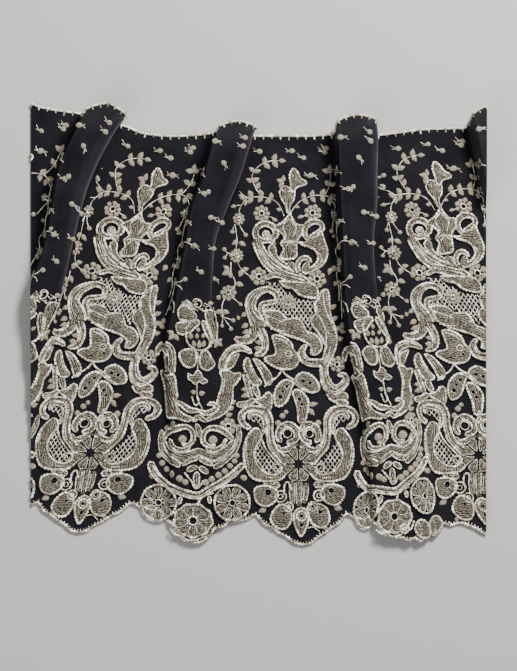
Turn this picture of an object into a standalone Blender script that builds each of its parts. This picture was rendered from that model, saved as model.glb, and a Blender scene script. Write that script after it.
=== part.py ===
# A pleated length of lace trim, lying face up: a fine net ground with a scalloped hem, a cord
# along the footing, a cord along the scallops, and the raised motifs that are sewn on the net.
# Metres, +Z up, +Y towards the footing. The origin is under the middle of the part, on the floor.
import math

import bpy
from mathutils import Vector, geometry

MM = 0.001

# Driving dimensions of the cloth, in metres
WIDTH = 255 * MM  # across the pleated piece, between its two plain cut ends
REPEAT = 124 * MM  # flat length of one repeat of the pattern
DEPTH = 228.5 * MM  # footing to the tips of the scallops, measured flat
NET_THICKNESS = 1.0 * MM
CORD_RADIUS = 0.65 * MM
MOTIF_THICKNESS = 0.7 * MM
SEWN_GAP = 0.35 * MM  # between the net and what is sewn on it
CORD_GAP = 0.6 * MM  # between the net's edge and the cord's line of facets, which cuts corners
MOTIF_GAP = 1.0 * MM  # between one motif and the next, measured flat
FOOTING_Y = 105.2 * MM  # where the flat footing line lies in the part's own frame

CHART_UNIT = 0.56 * MM  # one unit of the motifs' charts, which sets the size of the whole pattern
COLUMN_DRAWN = 0.96  # the scroll column lies this much narrower than it is when flat

# Where a pleat's landmarks lie along the flat cloth, from the axis of the column on its left
ROSE_FLAT = REPEAT / 2
COLUMN_HALF = 19 * MM  # half width of the scroll column, which lies flat
RIDGE_BEFORE_ROSE = (16 * MM, 12 * MM)  # near the footing, and from the rose down
RIDGE_CHANGE = (65 * MM, 92 * MM)  # the depths between which that length changes
FOOT_SPREAD = 3 * MM  # how far a pleat's rise spreads sideways
FLOOR_DRAWN = (1.07, 0.94)  # how far cloth between a pleat and the next column is drawn out flat,
FLOOR_DRAWN_CHANGE = (92 * MM, 148 * MM)  # near the footing and near the hem, and where it changes
OPENED_WIDTH = 2.2  # width of an opened pleat's fall to the floor, for each unit of its tuck

# Share of a pleat's height at each landmark past the foot
ROSE_LEVEL, NOSE_LEVEL, BACK_LEVEL = 0.97, 0.62, 0.28

# Each pleat, from left to right, as rows at several depths, all in millimetres: depth below the
# footing; x of the column's axis, the ridge, the rose axis and the nose where the cloth turns under;
# the flat reach from rose axis to nose; how far the cloth tucks back under the nose (negative where
# the pleat has opened into a wave); and the pleat's height
PLEAT_COLUMNS = ("depth", "axis", "ridge", "rose", "nose", "reach", "tuck", "height")
PLEATS = (
    (
        (0, -121, -95.5, -84.5, -74, 10, 6.7, 15),
        (11, -124.5, -101, -90.5, -81.5, 10, 5, 15),
        (29.5, -133.5, -110, -100, -91.5, 9, 2.2, 14),
        (42, -140, -113, -104, -96.5, 8, 1.7, 13.5),
        (65.5, -150.5, -117.5, -109.5, -103, 8, 1.1, 12),
        (92.5, -161.5, -127, -119, -110, 9, 0.6, 10),
        (117, -175.5, -143.5, -131.5, -121, 10, -2.5, 7.5),
        (148, -195, -155, -140.5, -127, 13, -5, 5),
        (179, -209, -165, -149.5, -132.5, 18, -4, 3.5),
        (228.5, -223, -174.5, -160.5, -140.5, 20, -4.5, 1.5),
    ),
    (
        (0, -48.5, -20.5, -10.5, -1.5, 9, 6.7, 15),
        (11, -52.5, -25, -14.5, -5, 10, 5, 15),
        (29.5, -57, -31, -21, -11, 10, 2.2, 14),
        (42, -61.5, -36, -26, -16.5, 10, 1.7, 13.5),
        (65.5, -68, -40.5, -31, -24.5, 8, 1.1, 12),
        (92.5, -75.5, -45.5, -34.5, -26, 9, 0.6, 10),
        (117, -81.5, -50.5, -35, -23.5, 12, -2.5, 7.5),
        (148, -88, -48.5, -35, -19, 16, -5, 5),
        (179, -94.5, -47.5, -34.5, -15, 20, -4, 3.5),
        (204, -97.5, -48, -35.5, -15, 21, -4, 2.5),
        (228.5, -100.5, -49, -36.5, -16, 21, -4.5, 1.5),
    ),
    (
        (0, 23, 44.5, 55.5, 66, 10, 8.5, 15),
        (11, 22, 45, 56.5, 67, 10.5, 7.3, 15),
        (29.5, 21.5, 45.5, 56.5, 66.5, 10, 6, 14),
        (42, 21.5, 46, 56.5, 66.5, 10, 4.5, 13),
        (65.5, 21.5, 47.5, 57, 64.5, 8, 2.4, 12),
        (92.5, 21.5, 49, 59.5, 66.5, 8, 1.7, 10.5),
        (117, 21.5, 52.5, 64, 72, 8, -1.5, 8.5),
        (148, 21.5, 59, 70.5, 81, 13, -4, 7.5),
        (179, 21.5, 63.5, 73.5, 86.5, 16, -4.5, 6),
        (204, 23, 65, 75.5, 92, 20, -4.5, 5),
        (228.5, 25, 67, 77.5, 94, 20, -4.5, 4),
    ),
    (
        (0, 97, 120.5, 131, 141, 10, 6.7, 15),
        (42, 105.5, 129, 139, 148, 10, 1.7, 13.5),
        (65.5, 109, 135, 145, 153, 8, 1.1, 12),
        (117, 117, 149, 163, 174, 10, 0, 7.5),
        (148, 119, 158, 174, 188, 14, -1.7, 5),
        (179, 122, 169, 184.5, 202.5, 20, -4, 3.5),
        (204, 123.5, 172, 187, 206, 20, -4, 3),
        (228.5, 131, 180, 194, 214, 21, -4.5, 1.5),
    ),
)
LAST_AXIS = 110 * MM  # from the axis left of the last pleat to the column beyond it
LEFT_LENGTH = 45 * MM  # cloth left of the first axis, before the cut end

# How far each pleat pushes the cloth up the picture at the footing, in millimetres, at its landmarks
FOOTING_LIFT = (  # axis, side, foot, ridge, rose, nose, back, floor, before the next axis
    (16, 13, 12.5, 15, 18, 11, 7.5, 5, 2),
    (0, 1, 3, 6, 8, 4.5, 2, 0, 0),
    (0, 1, 3, 8, 11.5, 8.5, 2.5, 0.5, 2),
    (4, 4.5, 7, 12.5, 17, 11, 6, 3, 1),
)
LEFT_LIFTS = (25, 19.5)  # at the far left, and a third of the way to the first axis
FOOTING_LIFT_FADES = 150 * MM  # the depth at which that lift has gone
# How far the hem lies up the picture, as flat distance from the first axis and lift in millimetres,
# and where a lower layer shows below it, as the same distance and how much longer the cloth is there
HEM_LIFT = (
    (-45, 7), (124, 7), (143, 6.5), (157, 6.5), (174, 3), (186, 1.5), (204, 0), (267, 0),
    (290, 1.5), (310, 4), (335, 4), (372, 5.5), (500, 5.5),
)
HEM_LONGER = ((314, 0), (318, 5), (325, 12), (337, 11), (343, 11), (347, 8), (352, 4), (358, 0))

# One repeat of the scalloped hem: flat distance from the column's axis, and how far the hem line
# lies above the tips, in millimetres
SCALLOP = (
    (0, 0), (4.5, 1), (9, 4.5), (13, 6.5), (17, 9.5), (22, 12), (27, 17), (31, 15), (37, 13.5),
    (41, 14), (45, 10.5), (50, 9), (53.5, 4), (58, 0.5), (62, 0), (66, 0.5), (70.5, 4), (74, 9),
    (79, 10.5), (83, 14), (87, 13.5), (93, 15), (97, 17), (102, 12), (107, 9.5), (111, 6.5),
    (115, 4.5), (119.5, 1), (124, 0),
)

# How finely the sheet is divided: steps between a pleat's landmarks, and rows down the cloth
STEPS_BETWEEN = (5, 5, 4, 3, 4, 3, 3, 3, 4)
LEFT_STEPS = (2, 2)
ROWS = 14
ROW_BIAS = 1.15  # rows lie closer together towards the footing, where the pleats are tight
CUT_MARGIN = 40 * MM
CORD_SIDES = 6

# Charts of the sewn-on motifs, in chart units across from the axis and below the footing. Outlines
# are closed. A rosette is a centre, a radius, the share of it at the notches, and petals.
CREST = {
    "outlines": (
        ((-7, 32), (0, 32), (4, 42), (10, 48), (7, 52), (-1, 55), (0, 64), (-4, 71), (-3, 81),
         (6, 89), (6, 108), (1, 112), (2, 118), (-1, 125), (-14, 126), (-17, 119), (-14, 112),
         (-17, 105), (-15, 100), (-25, 91), (-21, 87), (-12, 82), (-15, 64), (-18, 59), (-16, 52),
         (-8, 46), (-9, 36)),
        ((-35, 86), (-27, 87), (-21, 94), (-23, 102), (-31, 107), (-27, 108), (-21, 111),
         (-18, 119), (-11, 125), (-2, 133), (5, 135), (14, 145), (3, 146), (-11, 145), (-21, 141),
         (-30, 136), (-32, 126), (-40, 114), (-44, 104), (-45, 95), (-41, 89)),
        ((6, 88), (11, 85), (19, 83), (25, 87), (26, 93), (22, 96), (28, 107), (31, 115),
         (31, 124), (27, 131), (20, 135), (10, 138), (2, 136), (2, 126), (6, 121), (11, 120),
         (15, 125), (20, 126), (21, 121), (16, 114), (4, 108), (7, 99)),
        ((-17, 143), (3, 143), (12, 143), (17, 150), (20, 157), (18, 164), (6, 163), (-3, 161),
         (-9, 154), (-16, 152)),
    ),
}
BODY = {
    "outlines": (
        ((-35, 151), (-25, 153), (-17, 155), (-9, 156), (-5, 161), (3, 164), (18, 165), (16, 172),
         (19, 180), (17, 189), (25, 198), (31, 209), (25, 220), (25, 232), (13, 232), (6, 226),
         (1, 218), (5, 212), (10, 207), (2, 205), (-9, 201), (-21, 195), (-30, 189), (-31, 195),
         (-29, 207), (-31, 217), (-38, 221), (-45, 218), (-37, 210), (-36, 205), (-41, 197),
         (-46, 202), (-53, 208), (-61, 206), (-61, 201), (-53, 202), (-48, 195), (-48, 184),
         (-52, 173), (-51, 159), (-45, 154)),
        ((25, 155), (30, 152), (33, 156), (33, 174), (39, 191), (39, 204), (34, 219), (32, 232),
         (35, 244), (40, 248), (43, 244), (38, 238), (44, 236), (51, 242), (49, 251), (45, 255),
         (51, 262), (51, 269), (42, 270), (33, 263), (25, 253), (22, 236), (25, 216), (23, 204),
         (14, 192), (18, 182), (17, 174), (24, 170), (21, 161)),
        ((-24, 200), (-19, 199), (-11, 203), (-5, 209), (-4, 214), (1, 220), (1, 230), (-3, 235),
         (-16, 235), (-29, 230), (-34, 224), (-35, 220), (-29, 217), (-21, 216), (-25, 209)),
    ),
}
LOBES = {
    "outlines": (
        ((-14, 243), (-19, 235), (-9, 234), (0, 242), (6, 236), (15, 237), (22, 245), (23, 256),
         (13, 256), (10, 261), (13, 271), (11, 280), (6, 285), (2, 282), (0, 274), (-6, 266),
         (-12, 268), (-21, 270), (-27, 264), (-27, 272), (-35, 270), (-43, 267), (-51, 270),
         (-59, 272), (-61, 266), (-50, 263), (-47, 260), (-49, 250), (-52, 238), (-53, 230),
         (-49, 222), (-42, 221), (-35, 226), (-28, 234), (-24, 242), (-27, 249), (-35, 248),
         (-43, 250), (-41, 259), (-36, 258), (-30, 255), (-24, 258), (-21, 248)),
    ),
}
BASE = {
    "outlines": (
        ((-52, 273), (-42, 271), (-31, 275), (-25, 283), (-24, 294), (-18, 290), (-9, 287),
         (0, 293), (3, 295), (12, 288), (21, 293), (26, 299), (28, 284), (31, 276), (39, 272),
         (49, 271), (57, 276), (60, 284), (57, 292), (50, 295), (57, 309), (59, 321), (56, 331),
         (58, 342), (48, 347), (48, 356), (44, 368), (35, 372), (33, 385), (21, 394), (15, 397),
         (6, 403), (-2, 401), (-8, 394), (-17, 394), (-25, 386), (-28, 376), (-35, 372), (-42, 364),
         (-44, 355), (-39, 349), (-47, 342), (-53, 329), (-56, 315), (-53, 304), (-46, 296),
         (-54, 294), (-59, 285)),
    ),
}
ROSE = {
    "outlines": (
        ((-16, 170), (-11, 167), (-3, 172), (2, 165), (7, 169), (13, 171), (19, 178), (19, 194),
         (20, 203), (13, 207), (7, 213), (3, 218), (8, 214), (14, 220), (19, 230), (12, 235),
         (5, 234), (10, 245), (5, 248), (3, 256), (4, 266), (0, 266), (-1, 248), (-8, 243),
         (-7, 238), (-1, 235), (-3, 232), (-11, 230), (-16, 222), (-15, 216), (-6, 213), (-1, 214),
         (-6, 208), (-10, 200), (-16, 199), (-21, 194), (-19, 184), (-19, 175)),
    ),
}
CARTOUCHE = {
    "outlines": (
        ((-41, 213), (-36, 206), (-28, 206), (-23, 214), (-22, 232), (-19, 252), (-11, 267),
         (0, 273), (9, 276), (18, 273), (19, 261), (24, 250), (25, 239), (21, 229), (24, 218),
         (33, 210), (44, 208), (52, 212), (55, 218), (50, 220), (44, 216), (40, 220), (39, 228),
         (34, 234), (44, 237), (45, 244), (37, 252), (35, 264), (34, 276), (31, 289), (36, 302),
         (33, 316), (27, 329), (17, 336), (12, 344), (1, 352), (-7, 346), (-14, 336), (-26, 329),
         (-34, 318), (-36, 305), (-29, 294), (-29, 279), (-31, 262), (-31, 248), (-35, 237),
         (-29, 230), (-34, 216), (-38, 219)),
    ),
}
HEM_ROSETTE = {
    "rosettes": ((-2, 384.5, 19, 0.86, 7),),
}
SIDE_ROSETTE = {
    "rosettes": ((36, 366.5, 18.5, 0.93, 8),),
}
HEM_SWAG = {
    "outlines": (
        ((-47, 323), (-40, 334), (-28, 343), (-15, 352), (-1, 356), (9, 353), (24, 343), (37, 333),
         (45, 325), (47, 329), (38, 339), (24, 350), (9, 360), (-1, 362), (-16, 360), (-30, 352),
         (-43, 341), (-49, 329)),
    ),
    "rosettes": ((-38, 366, 19, 0.93, 8),),
}
MOTIFS = (  # name, chart, the chart above it that it stops short of, whether it is on the rose axis
    ("crest", CREST, {}, False),
    ("body", BODY, CREST, False),
    ("lobes", LOBES, BODY, False),
    ("base", BASE, LOBES, False),
    ("rose", ROSE, {}, True),
    ("cartouche", CARTOUCHE, ROSE, True),
    ("hem_swag", HEM_SWAG, CARTOUCHE, True),
    ("hem_rosette", HEM_ROSETTE, HEM_SWAG, True),
    ("side_rosette", SIDE_ROSETTE, HEM_SWAG, True),
)
ROSETTE_POINTS_PER_PETAL = 4
MERGE_DISTANCE = 0.02  # points of an outline this near a grid line join it, in grid cells
HIDDEN_MARGIN = 0.5 * MM  # a motif ends this far before the cloth turns under
HIDDEN_TUCK = 0.8 * MM  # a pleat that tucks back less than this hides nothing
END_MARGIN = 1 * MM  # and this far inside the cut ends
SMALLEST_SHARE = 0.25  # a motif cut by an end keeps only pieces over this share of its whole area

COLOURS = {  # base colour, roughness
    "net": ((0.035, 0.032, 0.042, 1), 0.8),
    "cord": ((0.72, 0.67, 0.54, 1), 0.5),
    "motif": ((0.5, 0.46, 0.37, 1), 0.7),
}


def clear_scene():
    for item in list(bpy.data.objects):
        bpy.data.objects.remove(item, do_unlink=True)


def material(name):
    found = bpy.data.materials.get(name)
    if found:
        return found
    colour, roughness = COLOURS[name]
    made = bpy.data.materials.new(name)
    made.use_nodes = True
    shader = made.node_tree.nodes["Principled BSDF"]
    shader.inputs["Base Color"].default_value = colour
    shader.inputs["Roughness"].default_value = roughness
    shader.inputs["Metallic"].default_value = 0
    made.diffuse_color = colour
    return made


def add_object(name, points, faces, finish):
    mesh = bpy.data.meshes.new(name)
    mesh.from_pydata([tuple(p) for p in points], [], faces)
    mesh.validate()
    mesh.materials.append(material(finish))
    mesh.shade_smooth()
    mesh.set_sharp_from_angle(angle=math.radians(40))
    item = bpy.data.objects.new(name, mesh)
    bpy.context.scene.collection.objects.link(item)
    return item


def eased(t):
    t = min(1.0, max(0.0, t))
    return t * t * (3 - 2 * t)


def slopes(xs, ys):
    # Slopes of a cubic through the points that never overshoots them, so that cloth that lies on
    # the floor stays on it and a nose stays the furthest point of its pleat
    gaps = [b - a for a, b in zip(xs, xs[1:])]
    rises = [(b - a) / g for a, b, g in zip(ys, ys[1:], gaps)]
    found = [rises[0]]
    for i in range(1, len(rises)):
        before, after = rises[i - 1], rises[i]
        if before * after <= 0:
            found.append(0.0)
            continue
        w1, w2 = 2 * gaps[i] + gaps[i - 1], gaps[i] + 2 * gaps[i - 1]
        found.append((w1 + w2) / (w1 / before + w2 / after))
    return found + [rises[-1]]


class Curve:
    # A smooth curve through points with rising x
    def __init__(self, xs, ys):
        self.xs, self.ys = list(xs), list(ys)
        self.slopes = slopes(self.xs, self.ys)

    def at(self, x):
        xs, ys = self.xs, self.ys
        if x <= xs[0]:
            return ys[0] + self.slopes[0] * (x - xs[0])
        if x >= xs[-1]:
            return ys[-1] + self.slopes[-1] * (x - xs[-1])
        i = max(k for k in range(len(xs) - 1) if xs[k] <= x)
        gap = xs[i + 1] - xs[i]
        t = (x - xs[i]) / gap
        a, b = self.slopes[i] * gap, self.slopes[i + 1] * gap
        rise = ys[i + 1] - ys[i]
        return ys[i] + a * t + (3 * rise - 2 * a - b) * t**2 + (a + b - 2 * rise) * t**3


def pleat_curves(rows):
    depths = [row[0] * MM for row in rows]
    return {
        name: Curve(depths, [row[k] * MM for row in rows])
        for k, name in enumerate(PLEAT_COLUMNS)
        if name != "depth"
    }


CURVES = [pleat_curves(rows) for rows in PLEATS]


def axis_at(pleat, depth):
    if pleat < len(CURVES):
        return CURVES[pleat]["axis"].at(depth)
    return CURVES[-1]["axis"].at(depth) + LAST_AXIS


def landmarks(pleat, depth):
    # (flat distance along the cloth, x, z, lift at the footing) of a pleat's landmarks at this depth
    row = {name: curve.at(depth) for name, curve in CURVES[pleat].items()}
    height, tuck = row["height"], row["tuck"]
    change = eased((depth - RIDGE_CHANGE[0]) / (RIDGE_CHANGE[1] - RIDGE_CHANGE[0]))
    before = RIDGE_BEFORE_ROSE[0] + change * (RIDGE_BEFORE_ROSE[1] - RIDGE_BEFORE_ROSE[0])
    ridge_flat = ROSE_FLAT - before
    foot_flat = ridge_flat - 0.85 * height - FOOT_SPREAD
    nose_flat = ROSE_FLAT + row["reach"]
    back_x = row["nose"] - tuck
    floor_x = row["nose"] + max(1.2 * MM, -OPENED_WIDTH * tuck)
    start, end = FLOOR_DRAWN_CHANGE
    drawn = FLOOR_DRAWN[0] + (FLOOR_DRAWN[1] - FLOOR_DRAWN[0]) * eased((depth - start) / (end - start))
    floor_flat = REPEAT - (axis_at(pleat + 1, depth) - floor_x) / drawn
    floor_flat = max(floor_flat, nose_flat + abs(tuck) + 0.8 * height + 1 * MM)
    back_flat = 0.5 * (nose_flat + floor_flat)
    side_flat = min(COLUMN_HALF, foot_flat - 2 * MM)
    side_x = row["axis"] + COLUMN_DRAWN * side_flat
    foot_x = max(row["ridge"] - FOOT_SPREAD, side_x + 1.5 * MM)
    ridge_x = max(row["ridge"], foot_x + 1.5 * MM)
    lifts = [value * MM for value in FOOTING_LIFT[pleat]]
    before_flat = max(REPEAT - COLUMN_HALF, floor_flat + 2 * MM)
    before_x = axis_at(pleat + 1, depth) - COLUMN_DRAWN * (REPEAT - before_flat)
    flats = (0, side_flat, foot_flat, ridge_flat, ROSE_FLAT, nose_flat, back_flat, floor_flat,
             before_flat)
    xs = (row["axis"], side_x, foot_x, ridge_x, row["rose"], row["nose"], back_x, floor_x, before_x)
    zs = (0, 0, 0.02 * height, height, ROSE_LEVEL * height, NOSE_LEVEL * height,
          BACK_LEVEL * height, 0, 0)
    start = pleat * REPEAT
    return [(start + f, x, z, lift) for f, x, z, lift in zip(flats, xs, zs, lifts)]


def table_curve(rows):
    return Curve([a * MM for a, _ in rows], [b * MM for _, b in rows])


HEM_LIFT_CURVE = table_curve(HEM_LIFT)


def straight_between(rows, at):
    # Value at a place in a table, in straight lines between its rows and level beyond its ends
    if at <= rows[0][0]:
        return rows[0][1]
    for (a, low), (b, high) in zip(rows, rows[1:]):
        if at <= b:
            return low + (high - low) * (at - a) / (b - a)
    return rows[-1][1]


class Section:
    # The cloth's back-and-forth section at one depth below the footing
    def __init__(self, depth):
        self.depth = depth
        first = axis_at(0, depth)
        far, near = (lift * MM for lift in LEFT_LIFTS)
        self.marks = [(-LEFT_LENGTH, first - LEFT_LENGTH, 0, far)]
        self.marks.append((-LEFT_LENGTH / 4, first - LEFT_LENGTH / 4, 0, near))
        for pleat in range(len(PLEATS)):
            self.marks += landmarks(pleat, depth)
        end = (len(PLEATS) * REPEAT, axis_at(len(PLEATS), depth), 0, FOOTING_LIFT[-1][0] * MM)
        self.marks.append(end)
        flats = [m[0] for m in self.marks]
        self.x = Curve(flats, [m[1] for m in self.marks])
        self.z = Curve(flats, [m[2] for m in self.marks])
        self.lift = Curve(flats, [m[3] for m in self.marks])

    def point(self, flat):
        up = self.lift.at(flat) * (1 - eased(self.depth / FOOTING_LIFT_FADES))
        up += HEM_LIFT_CURVE.at(flat) * eased(self.depth / DEPTH)
        y = FOOTING_Y - self.depth + up
        return Vector((self.x.at(flat), y, max(0.0, self.z.at(flat)) + NET_THICKNESS / 2))


def hem_depth(flat):
    # Depth of the scalloped hem below the footing, at a flat distance along the cloth
    rise = straight_between(SCALLOP, flat % REPEAT / MM)
    return DEPTH - (rise - straight_between(HEM_LONGER, flat / MM)) * MM


def column_share(section, column):
    # Flat distance of a grid column, which keeps its place between two landmarks at every depth
    total = 0
    for i, steps in enumerate(LEFT_STEPS + STEPS_BETWEEN * len(PLEATS)):
        if column <= total + steps:
            a, b = section.marks[i][0], section.marks[i + 1][0]
            return a + (b - a) * (column - total) / steps
        total += steps
    return section.marks[-1][0]


def build_grid():
    # The sheet's points and normals on a grid: grid[row][column] = (flat, depth, point, normal)
    columns = sum(LEFT_STEPS) + sum(STEPS_BETWEEN) * len(PLEATS)
    nudge = 0.2 * MM
    grid = []
    for row in range(ROWS + 1):
        share = (row / ROWS) ** ROW_BIAS
        line = []
        for column in range(columns + 1):
            depth = share * DEPTH
            for _ in range(3):  # the column's flat place and the hem's depth settle together
                flat = column_share(Section(depth), column)
                depth = share * hem_depth(flat)
            section, lower = Section(depth), Section(depth + nudge)
            point = section.point(flat)
            along = section.point(flat + nudge) - section.point(flat - nudge)
            down = lower.point(flat) - point
            normal = down.cross(along).normalized()
            line.append((flat, depth, point, normal))
        grid.append(line)
    return trimmed(grid)


def trimmed(grid):
    # Only the columns that come near the cut ends or between them
    reach = WIDTH / 2 + CUT_MARGIN
    kept = [
        c
        for c in range(len(grid[0]))
        if any(abs(line[c][2].x) < reach for line in grid)
    ]
    return [line[kept[0] : kept[-1] + 1] for line in grid]


def triangles_of_cells(columns, rows):
    # Two triangles for each cell of the grid, always split along the same diagonal
    faces = []
    for row in range(rows):
        for column in range(columns):
            a = row * (columns + 1) + column
            b, c, d = a + 1, a + columns + 1, a + columns + 2
            faces += [(a, c, d), (a, d, b)]
    return faces


def solid_between(lower, upper, faces):
    # A closed body from two matching skins, with a wall along their rim
    n = len(lower)
    used = {}
    for face in faces:
        for a, b in zip(face, face[1:] + face[:1]):
            used[(a, b)] = True
    rim = [(a, b) for a, b in used if (b, a) not in used]
    solid = [tuple(v + n for v in face) for face in faces]
    solid += [tuple(reversed(face)) for face in faces]
    solid += [(a, b, b + n, a + n) for a, b in rim]
    return list(lower) + list(upper), solid


def build_net(grid):
    rows, columns = len(grid) - 1, len(grid[0]) - 1
    half = NET_THICKNESS / 2
    lower = [point - normal * half for line in grid for _, _, point, normal in line]
    upper = [point + normal * half for line in grid for _, _, point, normal in line]
    lower = [Vector((p.x, p.y, max(0.0, p.z))) for p in lower]
    points, faces = solid_between(lower, upper, triangles_of_cells(columns, rows))
    return add_object("net_ground", points, faces, "net")


def rosette_outline(across, depth, radius, notch, petals):
    found = []
    count = petals * ROSETTE_POINTS_PER_PETAL
    for i in range(count):
        turn = 2 * math.pi * i / count
        swell = notch + (1 - notch) * abs(math.cos(petals * turn / 2))
        found.append(
            Vector((across + radius * swell * math.sin(turn), depth + radius * swell * math.cos(turn)))
        )
    return found


def outlines_of(chart, axis, unit):
    # The chart's closed outlines in flat metres along the cloth and below the footing
    found = [[Vector(point) for point in line] for line in chart.get("outlines", ())]
    found += [rosette_outline(*row) for row in chart.get("rosettes", ())]
    return [[Vector((axis + p.x * unit, p.y * CHART_UNIT)) for p in line] for line in found]


def grid_place(grid, flat, depth):
    # Where a flat point lies in the grid, as (column, row) with fractions
    row = 0
    for _ in range(4):  # rows bend with the hem, so the row and the column settle together
        line = grid[min(int(row), len(grid) - 2)]
        column = next((c for c in range(len(line) - 1) if line[c + 1][0] >= flat), len(line) - 2)
        depths = [grid[r][column][1] for r in range(len(grid))]
        row = next((r for r in range(len(depths) - 1) if depths[r + 1] >= depth), len(depths) - 2)
    a, b = grid[row], grid[row + 1]
    return solve_cell(
        [Vector(cell[:2]) for cell in (a[column], a[column + 1], b[column], b[column + 1])],
        Vector((flat, depth)),
        column,
        row,
    )


def solve_cell(corners, point, column, row):
    # The point's place in a cell's own coordinates, by a few Newton steps
    p00, p10, p01, p11 = corners
    u, v = 0.5, 0.5
    for _ in range(8):
        at = p00 * (1 - u) * (1 - v) + p10 * u * (1 - v) + p01 * (1 - u) * v + p11 * u * v
        du = (p10 - p00) * (1 - v) + (p11 - p01) * v
        dv = (p01 - p00) * (1 - u) + (p11 - p10) * u
        miss = point - at
        area = du.x * dv.y - du.y * dv.x
        u += (miss.x * dv.y - miss.y * dv.x) / area
        v += (du.x * miss.y - du.y * miss.x) / area
    return Vector((column + u, row + v))


def inside(point, outline):
    found = False
    for a, b in zip(outline, outline[1:] + outline[:1]):
        if (a.y > point.y) != (b.y > point.y):
            if point.x < a.x + (b.x - a.x) * (point.y - a.y) / (b.y - a.y):
                found = not found
    return found


def grown(outline, reach):
    # The outline pushed outwards by a reach
    n = len(outline)
    turning = sum(a.x * b.y - b.x * a.y for a, b in zip(outline, outline[1:] + outline[:1]))
    found = []
    for i, point in enumerate(outline):
        along = outline[(i + 1) % n] - outline[i - 1]
        outwards = Vector((along.y, -along.x)).normalized()
        found.append(point + outwards * math.copysign(reach, turning))
    return found


def bends(grid, column, row):
    # Whether a cell of the sheet rises off the floor
    cells = grid[row][column : column + 2] + grid[row + 1][column : column + 2]
    return max(cell[2].z for cell in cells) > NET_THICKNESS / 2 + 0.01 * MM


def cut_shape(grid, outlines, taken):
    # The area covered by the outlines but not by those taken already, in grid coordinates. Where
    # the sheet bends it is divided by the sheet's own triangles, so that both keep one gap
    points, edges = [], []
    for line in outlines + taken:
        start, n = len(points), len(line)
        points += line
        edges += [(start + i, start + (i + 1) % n) for i in range(n)]
    low_c = int(math.floor(min(p.x for p in points)))
    high_c = int(math.ceil(max(p.x for p in points)))
    low_r = max(0, int(math.floor(min(p.y for p in points))))
    high_r = min(len(grid) - 1, int(math.ceil(max(p.y for p in points))))
    lines = set()
    for r in range(low_r, high_r):
        for c in range(low_c, high_c):
            if bends(grid, c, r):
                a, b, d, e = (c, r), (c + 1, r), (c, r + 1), (c + 1, r + 1)
                lines |= {(a, b), (d, e), (a, d), (b, e), (a, e)}
    numbers = {}
    for corner in sorted({corner for line in lines for corner in line}):
        numbers[corner] = len(points)
        points.append(Vector(corner))
    edges += [(numbers[a], numbers[b]) for a, b in sorted(lines)]
    found, _, faces, _, _, _ = geometry.delaunay_2d_cdt(points, edges, [], 0, MERGE_DISTANCE)
    kept = []
    for face in faces:
        middle = (found[face[0]] + found[face[1]] + found[face[2]]) / 3
        covered = any(inside(middle, line) for line in outlines)
        if covered and not any(inside(middle, line) for line in taken):
            kept.append(tuple(face))
    return found, kept


def on_sheet(grid, place):
    # The sheet's middle and normal at a place in the grid, on the same facets as the sheet's own
    column = min(max(int(math.floor(place.x + 1e-7)), 0), len(grid[0]) - 2)
    row = min(max(int(math.floor(place.y + 1e-7)), 0), len(grid) - 2)
    u, v = place.x - column, place.y - row
    corner, across = grid[row][column], grid[row][column + 1]
    below, far = grid[row + 1][column], grid[row + 1][column + 1]
    if u >= v:  # the triangle on the near side of the diagonal
        weights = ((corner, 1 - u), (across, u - v), (far, v))
    else:
        weights = ((corner, 1 - v), (below, v - u), (far, u))
    point, normal = Vector(), Vector()
    for cell, weight in weights:
        point += cell[2] * weight
        normal += cell[3] * weight
    return point, normal


def flat_of(grid, place):
    column = min(max(int(place.x), 0), len(grid[0]) - 2)
    row = min(max(int(place.y), 0), len(grid) - 2)
    u, v = place.x - column, place.y - row
    top = grid[row][column][0] * (1 - u) + grid[row][column + 1][0] * u
    low = grid[row + 1][column][0] * (1 - u) + grid[row + 1][column + 1][0] * u
    deep_top = grid[row][column][1] * (1 - u) + grid[row][column + 1][1] * u
    deep_low = grid[row + 1][column][1] * (1 - u) + grid[row + 1][column + 1][1] * u
    return top * (1 - v) + low * v, deep_top * (1 - v) + deep_low * v


def hidden_by(grid, place):
    # How far a place lies inside the part of a pleat that the nose covers, below zero outside it
    flat, depth = flat_of(grid, place)
    pleat = min(len(PLEATS) - 1, max(0, int(flat // REPEAT)))
    marks = landmarks(pleat, depth)
    if marks[5][1] - marks[6][1] < HIDDEN_TUCK:
        return -1 * MM
    return min(flat - marks[5][0] + HIDDEN_MARGIN, marks[7][0] + HIDDEN_MARGIN - flat)


def clipped(places, faces, level):
    # The faces where level is below zero, cut along the line where it is zero
    places = list(places)
    levels = [level(place) for place in places]
    crossings = {}

    def crossing(a, b):
        key = frozenset((a, b))
        if key not in crossings:
            crossings[key] = len(places)
            places.append(places[a].lerp(places[b], levels[a] / (levels[a] - levels[b])))
        return crossings[key]

    found = []
    for face in faces:
        kept = []
        for a, b in zip(face, face[1:] + face[:1]):
            if levels[a] < 0:
                kept.append(a)
            if (levels[a] < 0) != (levels[b] < 0):
                kept.append(crossing(a, b))
        found += [(kept[0], kept[i], kept[i + 1]) for i in range(1, len(kept) - 1)]
    return places, found


def largest_piece(faces):
    # The faces of the largest connected part
    owners = {}
    for index, face in enumerate(faces):
        for a, b in zip(face, face[1:] + face[:1]):
            owners.setdefault(frozenset((a, b)), []).append(index)
    left, best = set(range(len(faces))), []
    while left:
        todo, group = [left.pop()], []
        while todo:
            index = todo.pop()
            group.append(index)
            face = faces[index]
            for a, b in zip(face, face[1:] + face[:1]):
                for other in owners[frozenset((a, b))]:
                    if other in left:
                        left.discard(other)
                        todo.append(other)
        if len(group) > len(best):
            best = group
    return [faces[i] for i in best]


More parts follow.
